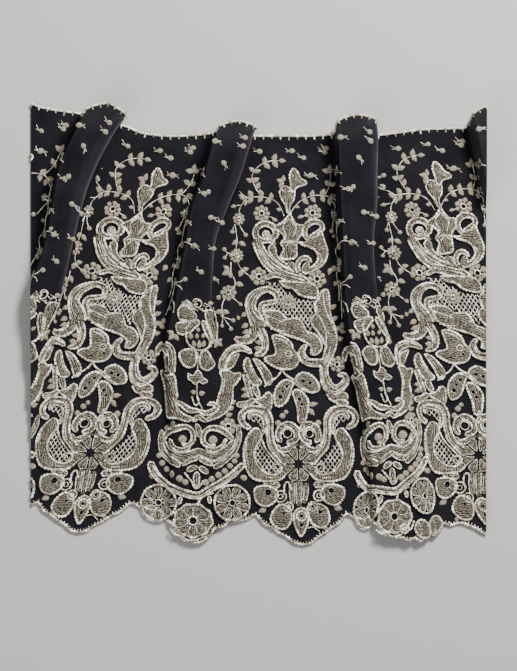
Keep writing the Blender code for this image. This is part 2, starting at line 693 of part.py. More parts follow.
def without_pinches(faces):
    # Leaves out faces that meet the rest at one point only, where a solid would touch itself
    while True:
        sides = {(a, b) for face in faces for a, b in zip(face, face[1:] + face[:1])}
        leaving = [a for a, b in sides if (b, a) not in sides]
        pinched = {v for v in leaving if leaving.count(v) > 1}
        if not pinched:
            return faces
        faces = largest_piece([face for face in faces if not pinched & set(face)])


def area_of(points, faces):
    total = 0
    for a, b, c in faces:
        ab, ac = points[b] - points[a], points[c] - points[a]
        total += abs(ab.x * ac.y - ab.y * ac.x) / 2
    return total


def compact(points, faces):
    used = sorted({v for face in faces for v in face})
    place = {v: i for i, v in enumerate(used)}
    return [points[v] for v in used], [tuple(place[v] for v in face) for face in faces]


def turned_up(points, faces):
    # Every face wound so that it faces up the sheet's normal, which is clockwise in the grid
    found = []
    for a, b, c in faces:
        ab, ac = points[b] - points[a], points[c] - points[a]
        found.append((a, b, c) if ab.x * ac.y - ab.y * ac.x < 0 else (a, c, b))
    return found


def build_motif(grid, name, chart, neighbour, pleat, on_rose):
    axis = pleat * REPEAT + (ROSE_FLAT if on_rose else 0)
    unit = CHART_UNIT if on_rose else CHART_UNIT / COLUMN_DRAWN
    outlines = outlines_of(chart, axis, unit)
    taken = [grown(line, MOTIF_GAP) for line in outlines_of(neighbour, axis, unit)]
    outlines, taken = (
        [[grid_place(grid, p.x, p.y) for p in line] for line in lines] for lines in (outlines, taken)
    )
    places, faces = cut_shape(grid, outlines, taken)
    whole = area_of(places, faces)
    limit = WIDTH / 2 - END_MARGIN
    places, faces = clipped(places, faces, lambda p: hidden_by(grid, p))
    places, faces = clipped(places, faces, lambda p: on_sheet(grid, p)[0].x - limit)
    places, faces = clipped(places, faces, lambda p: -on_sheet(grid, p)[0].x - limit)
    visible = without_pinches(largest_piece(faces))
    if area_of(places, visible) < SMALLEST_SHARE * whole:
        return None
    places, visible = compact(places, visible)
    visible = turned_up(places, visible)
    base = NET_THICKNESS / 2 + SEWN_GAP
    found = [on_sheet(grid, place) for place in places]
    lower = [point + normal * base for point, normal in found]
    upper = [point + normal * (base + MOTIF_THICKNESS) for point, normal in found]
    points, solid = solid_between(lower, upper, visible)
    return add_object(name, points, solid, "motif")


def edge_line(grid, row, inner_row):
    # Middle of a cord that lies along one edge of the sheet, just outside it
    edge, inner = grid[row], grid[inner_row]
    line = []
    for i, (_, _, point, normal) in enumerate(edge):
        along = edge[min(i + 1, len(edge) - 1)][2] - edge[max(i - 1, 0)][2]
        outwards = along.cross(normal).normalized()
        if outwards.dot(point - inner[i][2]) < 0:
            outwards.negate()
        point = point + outwards * (CORD_RADIUS + CORD_GAP)
        point.z = max(point.z, CORD_RADIUS)
        line.append(point)
    return line


def build_cord(name, line):
    # A straight-sided tube through the line's points, closed at both ends
    points, faces = [], []
    for i, middle in enumerate(line):
        ahead = (line[min(i + 1, len(line) - 1)] - line[max(i - 1, 0)]).normalized()
        side = ahead.cross(Vector((0, 0, 1))).normalized()
        up = side.cross(ahead)
        for k in range(CORD_SIDES):
            turn = 2 * math.pi * (k + 0.5) / CORD_SIDES
            points.append(middle + (side * math.cos(turn) + up * math.sin(turn)) * CORD_RADIUS)
    for i in range(len(line) - 1):
        for k in range(CORD_SIDES):
            a, b = i * CORD_SIDES + k, i * CORD_SIDES + (k + 1) % CORD_SIDES
            faces.append((a, a + CORD_SIDES, b + CORD_SIDES, b))
    last = (len(line) - 1) * CORD_SIDES
    faces.append(tuple(range(CORD_SIDES)))
    faces.append(tuple(last + k for k in reversed(range(CORD_SIDES))))
    return add_object(name, points, faces, "cord")


def cut_ends(items):
    # Both ends of the trim are plain straight cuts, made by one box
    x, y, z = WIDTH / 2, 0.3, 0.1
    corners = [(i * x, j * y, k * z) for i in (-1, 1) for j in (-1, 1) for k in (-1, 1)]
    sides = [(0, 1, 3, 2), (4, 6, 7, 5), (0, 4, 5, 1), (2, 3, 7, 6), (0, 2, 6, 4), (1, 5, 7, 3)]
    cutter = add_object("cut_box", corners, sides, "net")
    cutter.hide_render = True
    cutter.display_type = "WIRE"
    for item in items:
        modifier = item.modifiers.new("cut ends", "BOOLEAN")
        modifier.operation = "INTERSECT"
        modifier.solver = "EXACT"
        modifier.object = cutter


def main():
    clear_scene()
    grid = build_grid()
    net = build_net(grid)
    footing = build_cord("footing_cord", edge_line(grid, 0, 1))
    hem = build_cord("hem_cord", edge_line(grid, -1, -2))
    cut_ends((net, footing, hem))
    for pleat in range(len(PLEATS)):
        for name, chart, neighbour, on_rose in MOTIFS:
            build_motif(grid, f"{name}_{pleat}", chart, neighbour, pleat, on_rose)


main()
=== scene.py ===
# Lace trim laid face up in its pleats: sheer net, sewn-on clothwork, cords, leaf sprays
import math

import bmesh
import bpy
import numpy as np
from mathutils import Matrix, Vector


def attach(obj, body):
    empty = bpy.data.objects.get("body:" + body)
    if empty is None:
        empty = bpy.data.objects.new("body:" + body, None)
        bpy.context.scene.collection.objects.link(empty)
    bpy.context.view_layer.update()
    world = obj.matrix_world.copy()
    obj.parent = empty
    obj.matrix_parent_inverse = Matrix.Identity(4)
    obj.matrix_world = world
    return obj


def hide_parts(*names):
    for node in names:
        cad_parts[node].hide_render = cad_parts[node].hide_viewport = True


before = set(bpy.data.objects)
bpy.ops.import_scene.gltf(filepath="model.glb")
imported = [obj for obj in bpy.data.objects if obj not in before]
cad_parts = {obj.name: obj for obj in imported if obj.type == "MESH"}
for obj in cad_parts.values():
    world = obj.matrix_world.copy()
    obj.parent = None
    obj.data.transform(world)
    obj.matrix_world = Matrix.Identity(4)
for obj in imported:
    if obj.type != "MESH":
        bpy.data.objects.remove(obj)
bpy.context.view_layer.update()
print("frame loaded:", len(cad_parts), "nodes")

mm = 0.001

# The cloth's folds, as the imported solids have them, all in millimetres
cloth = {
    "width": 255.0,
    "repeat": 124.0,
    "depth": 228.5,
    "footingY": 105.2,
    "middle": 0.5,  # height of the sheet's middle where it lies on the floor
    "roseFlat": 62.0,
    "columnHalf": 19.0,
    "columnDrawn": 0.96,
    "ridgeBeforeRose": (16.0, 12.0),
    "ridgeChange": (65.0, 92.0),
    "sideRun": 0.85,  # flat cloth up a pleat's side and down its back, as shares of its height
    "backRun": 0.8,
    "backSpare": 1.0,
    "footRise": 0.02,  # share of a pleat's height at its foot
    "footSpread": 3.0,
    "flatGap": 2.0,  # least flat distance and least x between two bends
    "apart": 1.5,
    "leastOpen": 1.2,
    "floorDrawn": (1.07, 0.94),
    "floorDrawnChange": (92.0, 148.0),
    "openedWidth": 2.2,
    "levels": (0.97, 0.62, 0.28),  # share of a pleat's height at the rose axis, nose and back
    "tuckedFrom": 0.8,  # tuck from which the cloth under the nose is hidden
    "leftLength": 45.0,  # cloth before the first axis, and how high it lies up the trim
    "leftNear": 0.25,
    "leftLifts": (25.0, 19.5),
    "lastAxis": 110.0,
    "liftFades": 150.0,
    "lowest": 0.05,
}

cutHalf = cloth["width"] * mm / 2

# Each pleat by depth: depth, x of the axis, the ridge, the rose axis and the nose, the reach from
# rose axis to nose, the tuck under the nose (below zero where the pleat has opened), the height
pleatColumns = ("depth", "axis", "ridge", "rose", "nose", "reach", "tuck", "height")
pleats = (
    (
        (0, -121, -95.5, -84.5, -74, 10, 6.7, 15),
        (11, -124.5, -101, -90.5, -81.5, 10, 5, 15),
        (29.5, -133.5, -110, -100, -91.5, 9, 2.2, 14),
        (42, -140, -113, -104, -96.5, 8, 1.7, 13.5),
        (65.5, -150.5, -117.5, -109.5, -103, 8, 1.1, 12),
        (92.5, -161.5, -127, -119, -110, 9, 0.6, 10),
        (117, -175.5, -143.5, -131.5, -121, 10, -2.5, 7.5),
        (148, -195, -155, -140.5, -127, 13, -5, 5),
        (179, -209, -165, -149.5, -132.5, 18, -4, 3.5),
        (228.5, -223, -174.5, -160.5, -140.5, 20, -4.5, 1.5),
    ),
    (
        (0, -48.5, -20.5, -10.5, -1.5, 9, 6.7, 15),
        (11, -52.5, -25, -14.5, -5, 10, 5, 15),
        (29.5, -57, -31, -21, -11, 10, 2.2, 14),
        (42, -61.5, -36, -26, -16.5, 10, 1.7, 13.5),
        (65.5, -68, -40.5, -31, -24.5, 8, 1.1, 12),
        (92.5, -75.5, -45.5, -34.5, -26, 9, 0.6, 10),
        (117, -81.5, -50.5, -35, -23.5, 12, -2.5, 7.5),
        (148, -88, -48.5, -35, -19, 16, -5, 5),
        (179, -94.5, -47.5, -34.5, -15, 20, -4, 3.5),
        (204, -97.5, -48, -35.5, -15, 21, -4, 2.5),
        (228.5, -100.5, -49, -36.5, -16, 21, -4.5, 1.5),
    ),
    (
        (0, 23, 44.5, 55.5, 66, 10, 8.5, 15),
        (11, 22, 45, 56.5, 67, 10.5, 7.3, 15),
        (29.5, 21.5, 45.5, 56.5, 66.5, 10, 6, 14),
        (42, 21.5, 46, 56.5, 66.5, 10, 4.5, 13),
        (65.5, 21.5, 47.5, 57, 64.5, 8, 2.4, 12),
        (92.5, 21.5, 49, 59.5, 66.5, 8, 1.7, 10.5),
        (117, 21.5, 52.5, 64, 72, 8, -1.5, 8.5),
        (148, 21.5, 59, 70.5, 81, 13, -4, 7.5),
        (179, 21.5, 63.5, 73.5, 86.5, 16, -4.5, 6),
        (204, 23, 65, 75.5, 92, 20, -4.5, 5),
        (228.5, 25, 67, 77.5, 94, 20, -4.5, 4),
    ),
    (
        (0, 97, 120.5, 131, 141, 10, 6.7, 15),
        (42, 105.5, 129, 139, 148, 10, 1.7, 13.5),
        (65.5, 109, 135, 145, 153, 8, 1.1, 12),
        (117, 117, 149, 163, 174, 10, 0, 7.5),
        (148, 119, 158, 174, 188, 14, -1.7, 5),
        (179, 122, 169, 184.5, 202.5, 20, -4, 3.5),
        (204, 123.5, 172, 187, 206, 20, -4, 3),
        (228.5, 131, 180, 194, 214, 21, -4.5, 1.5),
    ),
)
footingLift = (  # how far each pleat pushes the footing up the picture, at its landmarks
    (16, 13, 12.5, 15, 18, 11, 7.5, 5, 2),
    (0, 1, 3, 6, 8, 4.5, 2, 0, 0),
    (0, 1, 3, 8, 11.5, 8.5, 2.5, 0.5, 2),
    (4, 4.5, 7, 12.5, 17, 11, 6, 3, 1),
)
hemLift = (
    (-45, 7), (124, 7), (143, 6.5), (157, 6.5), (174, 3), (186, 1.5), (204, 0), (267, 0),
    (290, 1.5), (310, 4), (335, 4), (372, 5.5), (500, 5.5),
)
hemLonger = ((314, 0), (318, 5), (325, 12), (337, 11), (343, 11), (347, 8), (352, 4), (358, 0))
scallop = (  # flat distance from the axis, and how far the hem lies above the tips
    (0, 0), (4.5, 1), (9, 4.5), (13, 6.5), (17, 9.5), (22, 12), (27, 17), (31, 15), (37, 13.5),
    (41, 14), (45, 10.5), (50, 9), (53.5, 4), (58, 0.5), (62, 0), (66, 0.5), (70.5, 4), (74, 9),
    (79, 10.5), (83, 14), (87, 13.5), (93, 15), (97, 17), (102, 12), (107, 9.5), (111, 6.5),
    (115, 4.5), (119.5, 1), (124, 0),
)

# Soft creases in the net: flat place and depth of both ends, half width, height
creaseFades = 0.25  # share of its length over which each end of a crease fades
creases = (
    (30, 2, 34, 70, 1.6, 0.7),
    (52, 4, 56, 96, 1.3, -0.6),
    (150, 6, 158, 88, 1.8, 0.8),
    (166, 2, 171, 60, 1.2, -0.6),
    (176, 30, 181, 120, 1.4, 0.7),
    (193, 8, 190, 84, 1.1, -0.5),
    (272, 4, 281, 92, 1.8, 0.9),
    (291, 2, 293, 74, 1.3, -0.6),
    (302, 20, 303, 124, 1.2, 0.6),
    (318, 6, 315, 66, 1.2, -0.6),
    (396, 4, 404, 84, 1.8, 0.9),
    (416, 6, 420, 60, 1.2, -0.6),
    (210, 60, 236, 40, 2.2, 0.5),
    (334, 70, 352, 40, 2.2, 0.6),
    (140, 40, 160, 12, 2.4, 0.7),
    (266, 34, 288, 10, 2.4, 0.7),
)


def eased(t):
    t = np.clip(t, 0, 1)
    return t * t * (3 - 2 * t)


def smoothThrough(xs, ys):
    # a curve through points with rising x that never overshoots them
    xs, ys = np.array(xs, float), np.array(ys, float)
    gaps = np.diff(xs)
    rises = np.diff(ys) / gaps
    slopes = np.concatenate(([rises[0]], np.zeros(len(rises) - 1), [rises[-1]]))
    for i in range(1, len(rises)):
        before, after = rises[i - 1], rises[i]
        if before * after > 0:
            w1, w2 = 2 * gaps[i] + gaps[i - 1], gaps[i] + 2 * gaps[i - 1]
            slopes[i] = (w1 + w2) / (w1 / before + w2 / after)

    def at(x):
        x = np.asarray(x, float)
        i = np.clip(np.searchsorted(xs, x, side="right") - 1, 0, len(xs) - 2)
        t = (x - xs[i]) / gaps[i]
        a, b, rise = slopes[i] * gaps[i], slopes[i + 1] * gaps[i], ys[i + 1] - ys[i]
        inner = ys[i] + a * t + (3 * rise - 2 * a - b) * t**2 + (a + b - 2 * rise) * t**3
        low = ys[0] + slopes[0] * (x - xs[0])
        high = ys[-1] + slopes[-1] * (x - xs[-1])
        return np.where(x <= xs[0], low, np.where(x >= xs[-1], high, inner))

    return at


pleatCurves = [
    {name: smoothThrough([r[0] for r in rows], [r[k] for r in rows]) for k, name in enumerate(pleatColumns)}
    for rows in pleats
]
hemLiftAt = smoothThrough(*zip(*hemLift))
scallopAt = smoothThrough(*zip(*scallop))


def axisAt(pleat, depth):
    if pleat < len(pleats):
        return float(pleatCurves[pleat]["axis"](depth))
    return float(pleatCurves[-1]["axis"](depth)) + cloth["lastAxis"]


def hemDepth(flat):
    longer = np.interp(flat, *zip(*hemLonger))
    return cloth["depth"] - scallopAt(np.mod(flat, cloth["repeat"])) + longer


def changing(values, span, depth):
    # eases from the first value to the second between two depths
    share = float(eased((depth - span[0]) / (span[1] - span[0])))
    return values[0] + (values[1] - values[0]) * share


bends = {name: k for k, name in enumerate(
    ("axis", "side", "foot", "ridge", "rose", "nose", "back", "floor", "before"))}


def landmarks(pleat, depth):
    # flat distance, x, height and footing lift of the places where this pleat bends
    row = {name: float(curve(depth)) for name, curve in pleatCurves[pleat].items()}
    height, tuck, nextAxis = row["height"], row["tuck"], axisAt(pleat + 1, depth)
    repeat, half, drawn = cloth["repeat"], cloth["columnHalf"], cloth["columnDrawn"]
    ridgeFlat = cloth["roseFlat"] - changing(cloth["ridgeBeforeRose"], cloth["ridgeChange"], depth)
    footFlat = ridgeFlat - cloth["sideRun"] * height - cloth["footSpread"]
    noseFlat = cloth["roseFlat"] + row["reach"]
    floorX = row["nose"] + max(cloth["leastOpen"], -cloth["openedWidth"] * tuck)
    floorDrawn = changing(cloth["floorDrawn"], cloth["floorDrawnChange"], depth)
    backEnd = noseFlat + abs(tuck) + cloth["backRun"] * height + cloth["backSpare"]
    floorFlat = max(repeat - (nextAxis - floorX) / floorDrawn, backEnd)
    backFlat = 0.5 * (noseFlat + floorFlat)
    sideFlat = min(half, footFlat - cloth["flatGap"])
    sideX = row["axis"] + drawn * sideFlat
    footX = max(row["ridge"] - cloth["footSpread"], sideX + cloth["apart"])
    ridgeX = max(row["ridge"], footX + cloth["apart"])
    beforeFlat = max(repeat - half, floorFlat + cloth["flatGap"])
    beforeX = nextAxis - drawn * (repeat - beforeFlat)
    rose, nose, back = cloth["levels"]
    found = (
        (0, row["axis"], 0),
        (sideFlat, sideX, 0),
        (footFlat, footX, cloth["footRise"]),
        (ridgeFlat, ridgeX, 1),
        (cloth["roseFlat"], row["rose"], rose),
        (noseFlat, row["nose"], nose),
        (backFlat, row["nose"] - tuck, back),
        (floorFlat, floorX, 0),
        (beforeFlat, beforeX, 0),
    )
    start, lifts = pleat * repeat, footingLift[pleat]
    return [(start + flat, x, share * height, lift) for (flat, x, share), lift in zip(found, lifts)], tuck


tableStep = {"flat": 1.0, "depth": 2.0}
tableReach = {"firstFlat": -50.0, "pastEnd": 20, "firstDepth": -4.0, "lastDepth": 246}
lastFlat = len(pleats) * cloth["repeat"] + tableReach["pastEnd"]
tableFlats = np.arange(tableReach["firstFlat"], lastFlat, tableStep["flat"])
tableDepths = np.arange(tableReach["firstDepth"], tableReach["lastDepth"], tableStep["depth"])


def foldTable():
    # the folded sheet's middle for every flat place, and how far a place lies inside a fold
    points = np.zeros((len(tableDepths), len(tableFlats), 3))
    hidden = np.full(points.shape[:2], -1.0)
    far, near = cloth["leftLifts"]
    for r, depth in enumerate(tableDepths):
        first = axisAt(0, depth)
        marks = [
            (-length, first - length, 0, lift)
            for length, lift in ((cloth["leftLength"], far), (cloth["leftLength"] * cloth["leftNear"], near))
        ]
        for pleat in range(len(pleats)):
            found, tuck = landmarks(pleat, depth)
            marks += found
            if tuck > cloth["tuckedFrom"]:
                nose, floor = found[bends["nose"]][0], found[bends["floor"]][0]
                hidden[r] = np.maximum(hidden[r], np.minimum(tableFlats - nose, floor - tableFlats))
        marks.append((len(pleats) * cloth["repeat"], axisAt(len(pleats), depth), 0, footingLift[-1][0]))
        flats, xs, zs, lifts = zip(*marks)
        up = smoothThrough(flats, lifts)(tableFlats) * (1 - eased(depth / cloth["liftFades"]))
        up = up + hemLiftAt(tableFlats) * eased(depth / cloth["depth"])
        points[r, :, 0] = smoothThrough(flats, xs)(tableFlats)
        points[r, :, 1] = cloth["footingY"] - depth + up
        points[r, :, 2] = np.maximum(0, smoothThrough(flats, zs)(tableFlats)) + cloth["middle"]
    return points, hidden


def normalsOf(points):
    down = np.gradient(points, axis=0)
    along = np.gradient(points, axis=1)
    found = np.cross(down, along)
    return found / np.linalg.norm(found, axis=2, keepdims=True)


def creased(points):
    # soft troughs and ridges pressed into the net
    flats, depths = np.meshgrid(tableFlats, tableDepths)
    rise = np.zeros(flats.shape)
    for flat0, depth0, flat1, depth1, halfWidth, height in creases:
        run = np.array([flat1 - flat0, depth1 - depth0], float)
        length = np.linalg.norm(run)
        run /= length
        along = ((flats - flat0) * run[0] + (depths - depth0) * run[1]) / length
        across = (flats - flat0) * run[1] - (depths - depth0) * run[0]
        ends = eased(along / creaseFades) * eased((1 - along) / creaseFades)
        rise += height * ends * np.exp(-((across / halfWidth) ** 2))
    found = points + normalsOf(points) * rise[..., None]
    found[..., 2] = np.maximum(found[..., 2], cloth["middle"])
    return found


tablePoints, tableHidden = foldTable()
tablePoints = creased(tablePoints)
tableNormals = normalsOf(tablePoints)
print("folds worked out")


justInside = 1.001  # rows or columns short of the table's end


def readTable(table, flat, depth):
    c = (np.asarray(flat, float) - tableReach["firstFlat"]) / tableStep["flat"]
    r = (np.asarray(depth, float) - tableReach["firstDepth"]) / tableStep["depth"]
    c = np.clip(c, 0, len(tableFlats) - justInside)
    r = np.clip(r, 0, len(tableDepths) - justInside)
    ci, ri = c.astype(int), r.astype(int)
    u, v = c - ci, r - ri
    if table.ndim == 3:
        u, v = u[..., None], v[..., None]
    top = table[ri, ci] * (1 - u) + table[ri, ci + 1] * u
    low = table[ri + 1, ci] * (1 - u) + table[ri + 1, ci + 1] * u
    return top * (1 - v) + low * v


def onCloth(flat, depth, lift=0.0):
    # points in metres at a height above the folded net's middle, and the net's normals there
    normals = readTable(tableNormals, flat, depth)
    normals = normals / np.linalg.norm(normals, axis=-1, keepdims=True)
    lift = np.broadcast_to(np.asarray(lift, float), normals.shape[:-1])
    points = readTable(tablePoints, flat, depth) + normals * lift[..., None]
    points[..., 2] = np.maximum(points[..., 2], cloth["lowest"])
    return points * mm, normals


# Node materials


def newMaterial(name):
    made = bpy.data.materials.new(name)
    made.use_nodes = True
    tree = made.node_tree
    return made, tree, tree.nodes["Principled BSDF"]


def valueNode(tree, operation, *values):
    node = tree.nodes.new("ShaderNodeMath")
    node.operation = operation
    for socket, value in zip(node.inputs, values):
        if isinstance(value, (int, float)):
            socket.default_value = value
        else:
            tree.links.new(value, socket)
    return node.outputs[0]


def mixedOf(tree, *shares):
    # the sum of its values, each times its share
    found = valueNode(tree, "MULTIPLY", *shares[0])
    for value, share in shares[1:]:
        found = valueNode(tree, "ADD", found, valueNode(tree, "MULTIPLY", value, share))
    return found


def waveNode(tree, value, rate, swing):
    # a wave about one half
    wave = valueNode(tree, "SINE", valueNode(tree, "MULTIPLY", value, rate))
    return valueNode(tree, "MULTIPLY_ADD", wave, swing, 0.5)


def noiseNode(tree, vector, scale, detail):
    node = tree.nodes.new("ShaderNodeTexNoise")
    tree.links.new(vector, node.inputs["Vector"])
    node.inputs["Scale"].default_value = scale
    node.inputs["Detail"].default_value = detail
    return node.outputs["Fac"]


def objectNoise(tree, scale, detail):
    return noiseNode(tree, tree.nodes.new("ShaderNodeTexCoord").outputs["Object"], scale, detail)


def stretchedNoise(tree, vector, stretch, detail):
    node = tree.nodes.new("ShaderNodeMapping")
    tree.links.new(vector, node.inputs["Vector"])
    node.inputs["Scale"].default_value = stretch
    return noiseNode(tree, node.outputs["Vector"], 1.0, detail)


def attributeNode(tree, name):
    node = tree.nodes.new("ShaderNodeAttribute")
    node.attribute_name = name
    return node.outputs["Fac"]


def flatMeasure(tree):
    # the piece's own flat measure in millimetres, whole and in its parts
    whole = tree.nodes.new("ShaderNodeUVMap")
    whole.uv_map = "UVMap"
    parts = tree.nodes.new("ShaderNodeSeparateXYZ")
    tree.links.new(whole.outputs["UV"], parts.inputs[0])
    return whole.outputs["UV"], parts.outputs


def dressShader(tree, shader, looks, mixed, height=None):
    # colour by the mix, relief by the height, and the finish
    ramp = tree.nodes.new("ShaderNodeValToRGB")
    tree.links.new(mixed, ramp.inputs["Fac"])
    while len(ramp.color_ramp.elements) < len(looks["stops"]):
        ramp.color_ramp.elements.new(0.5)
    for element, (place, colour) in zip(ramp.color_ramp.elements, looks["stops"]):
        element.position = place
        element.color = (*colour, 1)
    tree.links.new(ramp.outputs["Color"], shader.inputs["Base Color"])
    if height is not None:
        bump = tree.nodes.new("ShaderNodeBump")
        tree.links.new(height, bump.inputs["Height"])
        bump.inputs["Distance"].default_value = looks["relief"]
        bump.inputs["Strength"].default_value = 1.0
        tree.links.new(bump.outputs["Normal"], shader.inputs["Normal"])
    shader.inputs["Roughness"].default_value = looks["roughness"]
    shader.inputs["Specular IOR Level"].default_value = looks["shine"]


clothworkLooks = {
    "rowPitch": 0.9,  # mm between the rows of thread
    "wander": ((0.22, 0.35, 1), 2),  # stretch and detail of each unevenness
    "fleck": ((0.75, 1.9, 1), 3),
    "broad": ((0.16, 0.16, 1), 2),
    "strays": 2.2,  # mm that the rows wander
    "rowShare": 0.3,
    "fleckShare": 0.9,
    "broadShare": 0.2,
    "stops": (  # gap (dark holes through to the net), painted shade between the rows, thread, and painted highlight on the crowns
        (0.55, (0.008, 0.007, 0.007)),
        (0.66, (0.032, 0.028, 0.020)),
        (0.77, (0.079, 0.069, 0.049)),
        (0.91, (0.315, 0.283, 0.208)),
    ),
    "relief": 0.00035,
    "roughness": 0.62,
    "shine": 0.12,
}


def clothworkMaterial():
    made, tree, shader = newMaterial("clothwork")
    whole, parts = flatMeasure(tree)
    wander, fleck, broad = (
        stretchedNoise(tree, whole, *clothworkLooks[name]) for name in ("wander", "fleck", "broad")
    )
    across = valueNode(tree, "ADD", parts["Y"], valueNode(tree, "MULTIPLY", wander, clothworkLooks["strays"]))
    rows = waveNode(tree, across, 2 * math.pi / clothworkLooks["rowPitch"], 0.5)
    mixed = mixedOf(
        tree, (rows, clothworkLooks["rowShare"]), (fleck, clothworkLooks["fleckShare"]),
        (broad, clothworkLooks["broadShare"]),
    )
    # one mix sets colour and relief, so the thread's uneven tone comes with painted highlight on the crowns
    # and painted shade in the troughs
    dressShader(tree, shader, clothworkLooks, mixed, mixed)
    return made


cordLooks = {
    "twist": 1100.0,  # turns a metre
    "swing": 0.32,
    "patch": (420.0, 2),  # scale and detail
    # the ply's share is painted highlight and shade along the twist; the patch's share is painted glints
    "paintedPlyShare": 0.45,
    "patchShare": 0.95,
    # painted shade, the cord's own tan, and near-white painted glints
    "stops": ((0.52, (0.13, 0.11, 0.07)), (0.70, (0.335, 0.292, 0.198)), (0.87, (0.98, 0.94, 0.84))),
    "relief": 0.00022,
    "roughness": 0.34,
    "shine": 0.5,
}


def cordMaterial():
    made, tree, shader = newMaterial("cordonnet")
    turns = valueNode(tree, "MULTIPLY", attributeNode(tree, "along"), cordLooks["twist"])
    turns = valueNode(tree, "ADD", turns, attributeNode(tree, "around"))
    ply = waveNode(tree, turns, 2 * math.pi, cordLooks["swing"])
    patch = objectNoise(tree, *cordLooks["patch"])
    # the colour takes painted highlight and shade from the twist and painted glints from the patch noise; the
    # twist alone gives the relief
    mixed = mixedOf(tree, (ply, cordLooks["paintedPlyShare"]), (patch, cordLooks["patchShare"]))
    dressShader(tree, shader, cordLooks, mixed, ply)
    return made


leafLooks = {
    "grain": (1500.0, 3),
    "stops": ((0.34, (0.095, 0.084, 0.060)), (0.66, (0.305, 0.27, 0.196))),
    "relief": 0.0002,
    "roughness": 0.6,
    "shine": 0.2,
}


def leafMaterial():
    made, tree, shader = newMaterial("leafwork")
    grain = objectNoise(tree, *leafLooks["grain"])
    dressShader(tree, shader, leafLooks, grain, grain)
    return made


netLooks = {
    "pitch": 0.62,  # mm between holes
    "hole": 0.2,  # radius of a hole, mm
    "haze": 0.965,  # how much the fine threads across a hole cover
    "patch": (60.0, 4),
    "patchShare": 0.35,
    # dark net tones, and at the top the painted sheen that the fold attribute brings
    "stops": ((0.10, (0.0026, 0.0025, 0.0038)), (0.45, (0.013, 0.0125, 0.017)), (1.0, (0.075, 0.06, 0.066))),
    "roughness": 0.75,
    "shine": 0.08,
}


def netMaterial():
    # round holes on a triangular lattice, over a dark net with painted sheen along the folds
    made, tree, shader = newMaterial("net")
    _, parts = flatMeasure(tree)
    squares = []
    for shift in (0.0, 0.5):
        axes = []
        for name, size in (("X", netLooks["pitch"]), ("Y", netLooks["pitch"] * math.sqrt(3))):
            cell = valueNode(tree, "ADD", valueNode(tree, "DIVIDE", parts[name], size), shift)
            offset = valueNode(tree, "SUBTRACT", valueNode(tree, "FRACT", cell), 0.5)
            offset = valueNode(tree, "MULTIPLY", offset, size)
            axes.append(valueNode(tree, "MULTIPLY", offset, offset))
        squares.append(valueNode(tree, "ADD", *axes))
    nearest = valueNode(tree, "MINIMUM", *squares)
    thread = valueNode(tree, "GREATER_THAN", nearest, netLooks["hole"] ** 2)
    tree.links.new(valueNode(tree, "MAXIMUM", thread, netLooks["haze"]), shader.inputs["Alpha"])
    patch = objectNoise(tree, *netLooks["patch"])
    # the fold attribute lifts the colour toward the painted sheen along the folds
    mixed = valueNode(tree, "MULTIPLY_ADD", patch, netLooks["patchShare"], attributeNode(tree, "fold"))
    dressShader(tree, shader, netLooks, mixed)
    return made


materials = {
    "clothwork": clothworkMaterial(),
    "cordonnet": cordMaterial(),
    "leafwork": leafMaterial(),
    "net": netMaterial(),
}
print("materials ready")


# Geometry Nodes trees


socketKinds = {float: "NodeSocketFloat", int: "NodeSocketInt", bool: "NodeSocketBool"}


def newTree(name, sockets):
    # each input has its first value, or the name of its kind
    tree = bpy.data.node_groups.new(name, "GeometryNodeTree")
    tree.interface.new_socket("Geometry", in_out="INPUT", socket_type="NodeSocketGeometry")
    for label, value in {**sockets, "Material": "NodeSocketMaterial"}.items():
        kind = socketKinds.get(type(value), value)
        made = tree.interface.new_socket(label, in_out="INPUT", socket_type=kind)
        if kind != value:
            made.default_value = value
    tree.interface.new_socket("Geometry", in_out="OUTPUT", socket_type="NodeSocketGeometry")
    return tree, tree.nodes.new("NodeGroupInput").outputs, tree.nodes.new("NodeGroupOutput")


def geoNode(tree, kind, inputs=(), **settings):
    node = tree.nodes.new(kind)
    for name, value in settings.items():
        setattr(node, name, value)
    for name, value in dict(inputs).items():
        if isinstance(value, bpy.types.NodeSocket):
            tree.links.new(value, node.inputs[name])
        else:
            node.inputs[name].default_value = value
    return node


def namedAttribute(tree, name, kind):
    node = geoNode(tree, "GeometryNodeInputNamedAttribute", {"Name": name}, data_type=kind)
    return node.outputs["Attribute"]


def endTree(tree, geometry, material, groupOutput):
    smooth = geoNode(tree, "GeometryNodeSetShadeSmooth", {"Geometry": geometry})
    real = geoNode(tree, "GeometryNodeRealizeInstances", {"Geometry": smooth.outputs[0]})
    inputs = {"Geometry": real.outputs[0], "Material": material}
    painted = geoNode(tree, "GeometryNodeSetMaterial", inputs)
    tree.links.new(painted.outputs[0], groupOutput.inputs[0])


def mathNode(tree, operation, first, second):
    return geoNode(tree, "ShaderNodeMath", {0: first, 1: second}, operation=operation).outputs[0]


def scaledBy(tree, vector, factor):
    inputs = {0: vector, "Scale": factor}
    return geoNode(tree, "ShaderNodeVectorMath", inputs, operation="SCALE").outputs[0]


def variedBetween(tree, seed, low, high):
    inputs = {"Seed": seed, 2: low, 3: high}
    return geoNode(tree, "FunctionNodeRandomValue", inputs, data_type="FLOAT").outputs[1]


def storedOn(tree, geometry, name, value):
    inputs = {"Geometry": geometry, "Name": name, "Value": value}
    return geoNode(tree, "GeometryNodeStoreNamedAttribute", inputs).outputs[0]


def facingTurn(tree, facing, heading):
    inputs = {"Primary Axis": facing, "Secondary Axis": heading}
    return geoNode(
        tree, "FunctionNodeAxesToRotation", inputs, primary_axis="Z", secondary_axis="X").outputs[0]


def placesAlong(tree, line, spacing):
    inputs = {"Curve": line, "Length": spacing}
    return geoNode(tree, "GeometryNodeCurveToPoints", inputs, mode="LENGTH").outputs


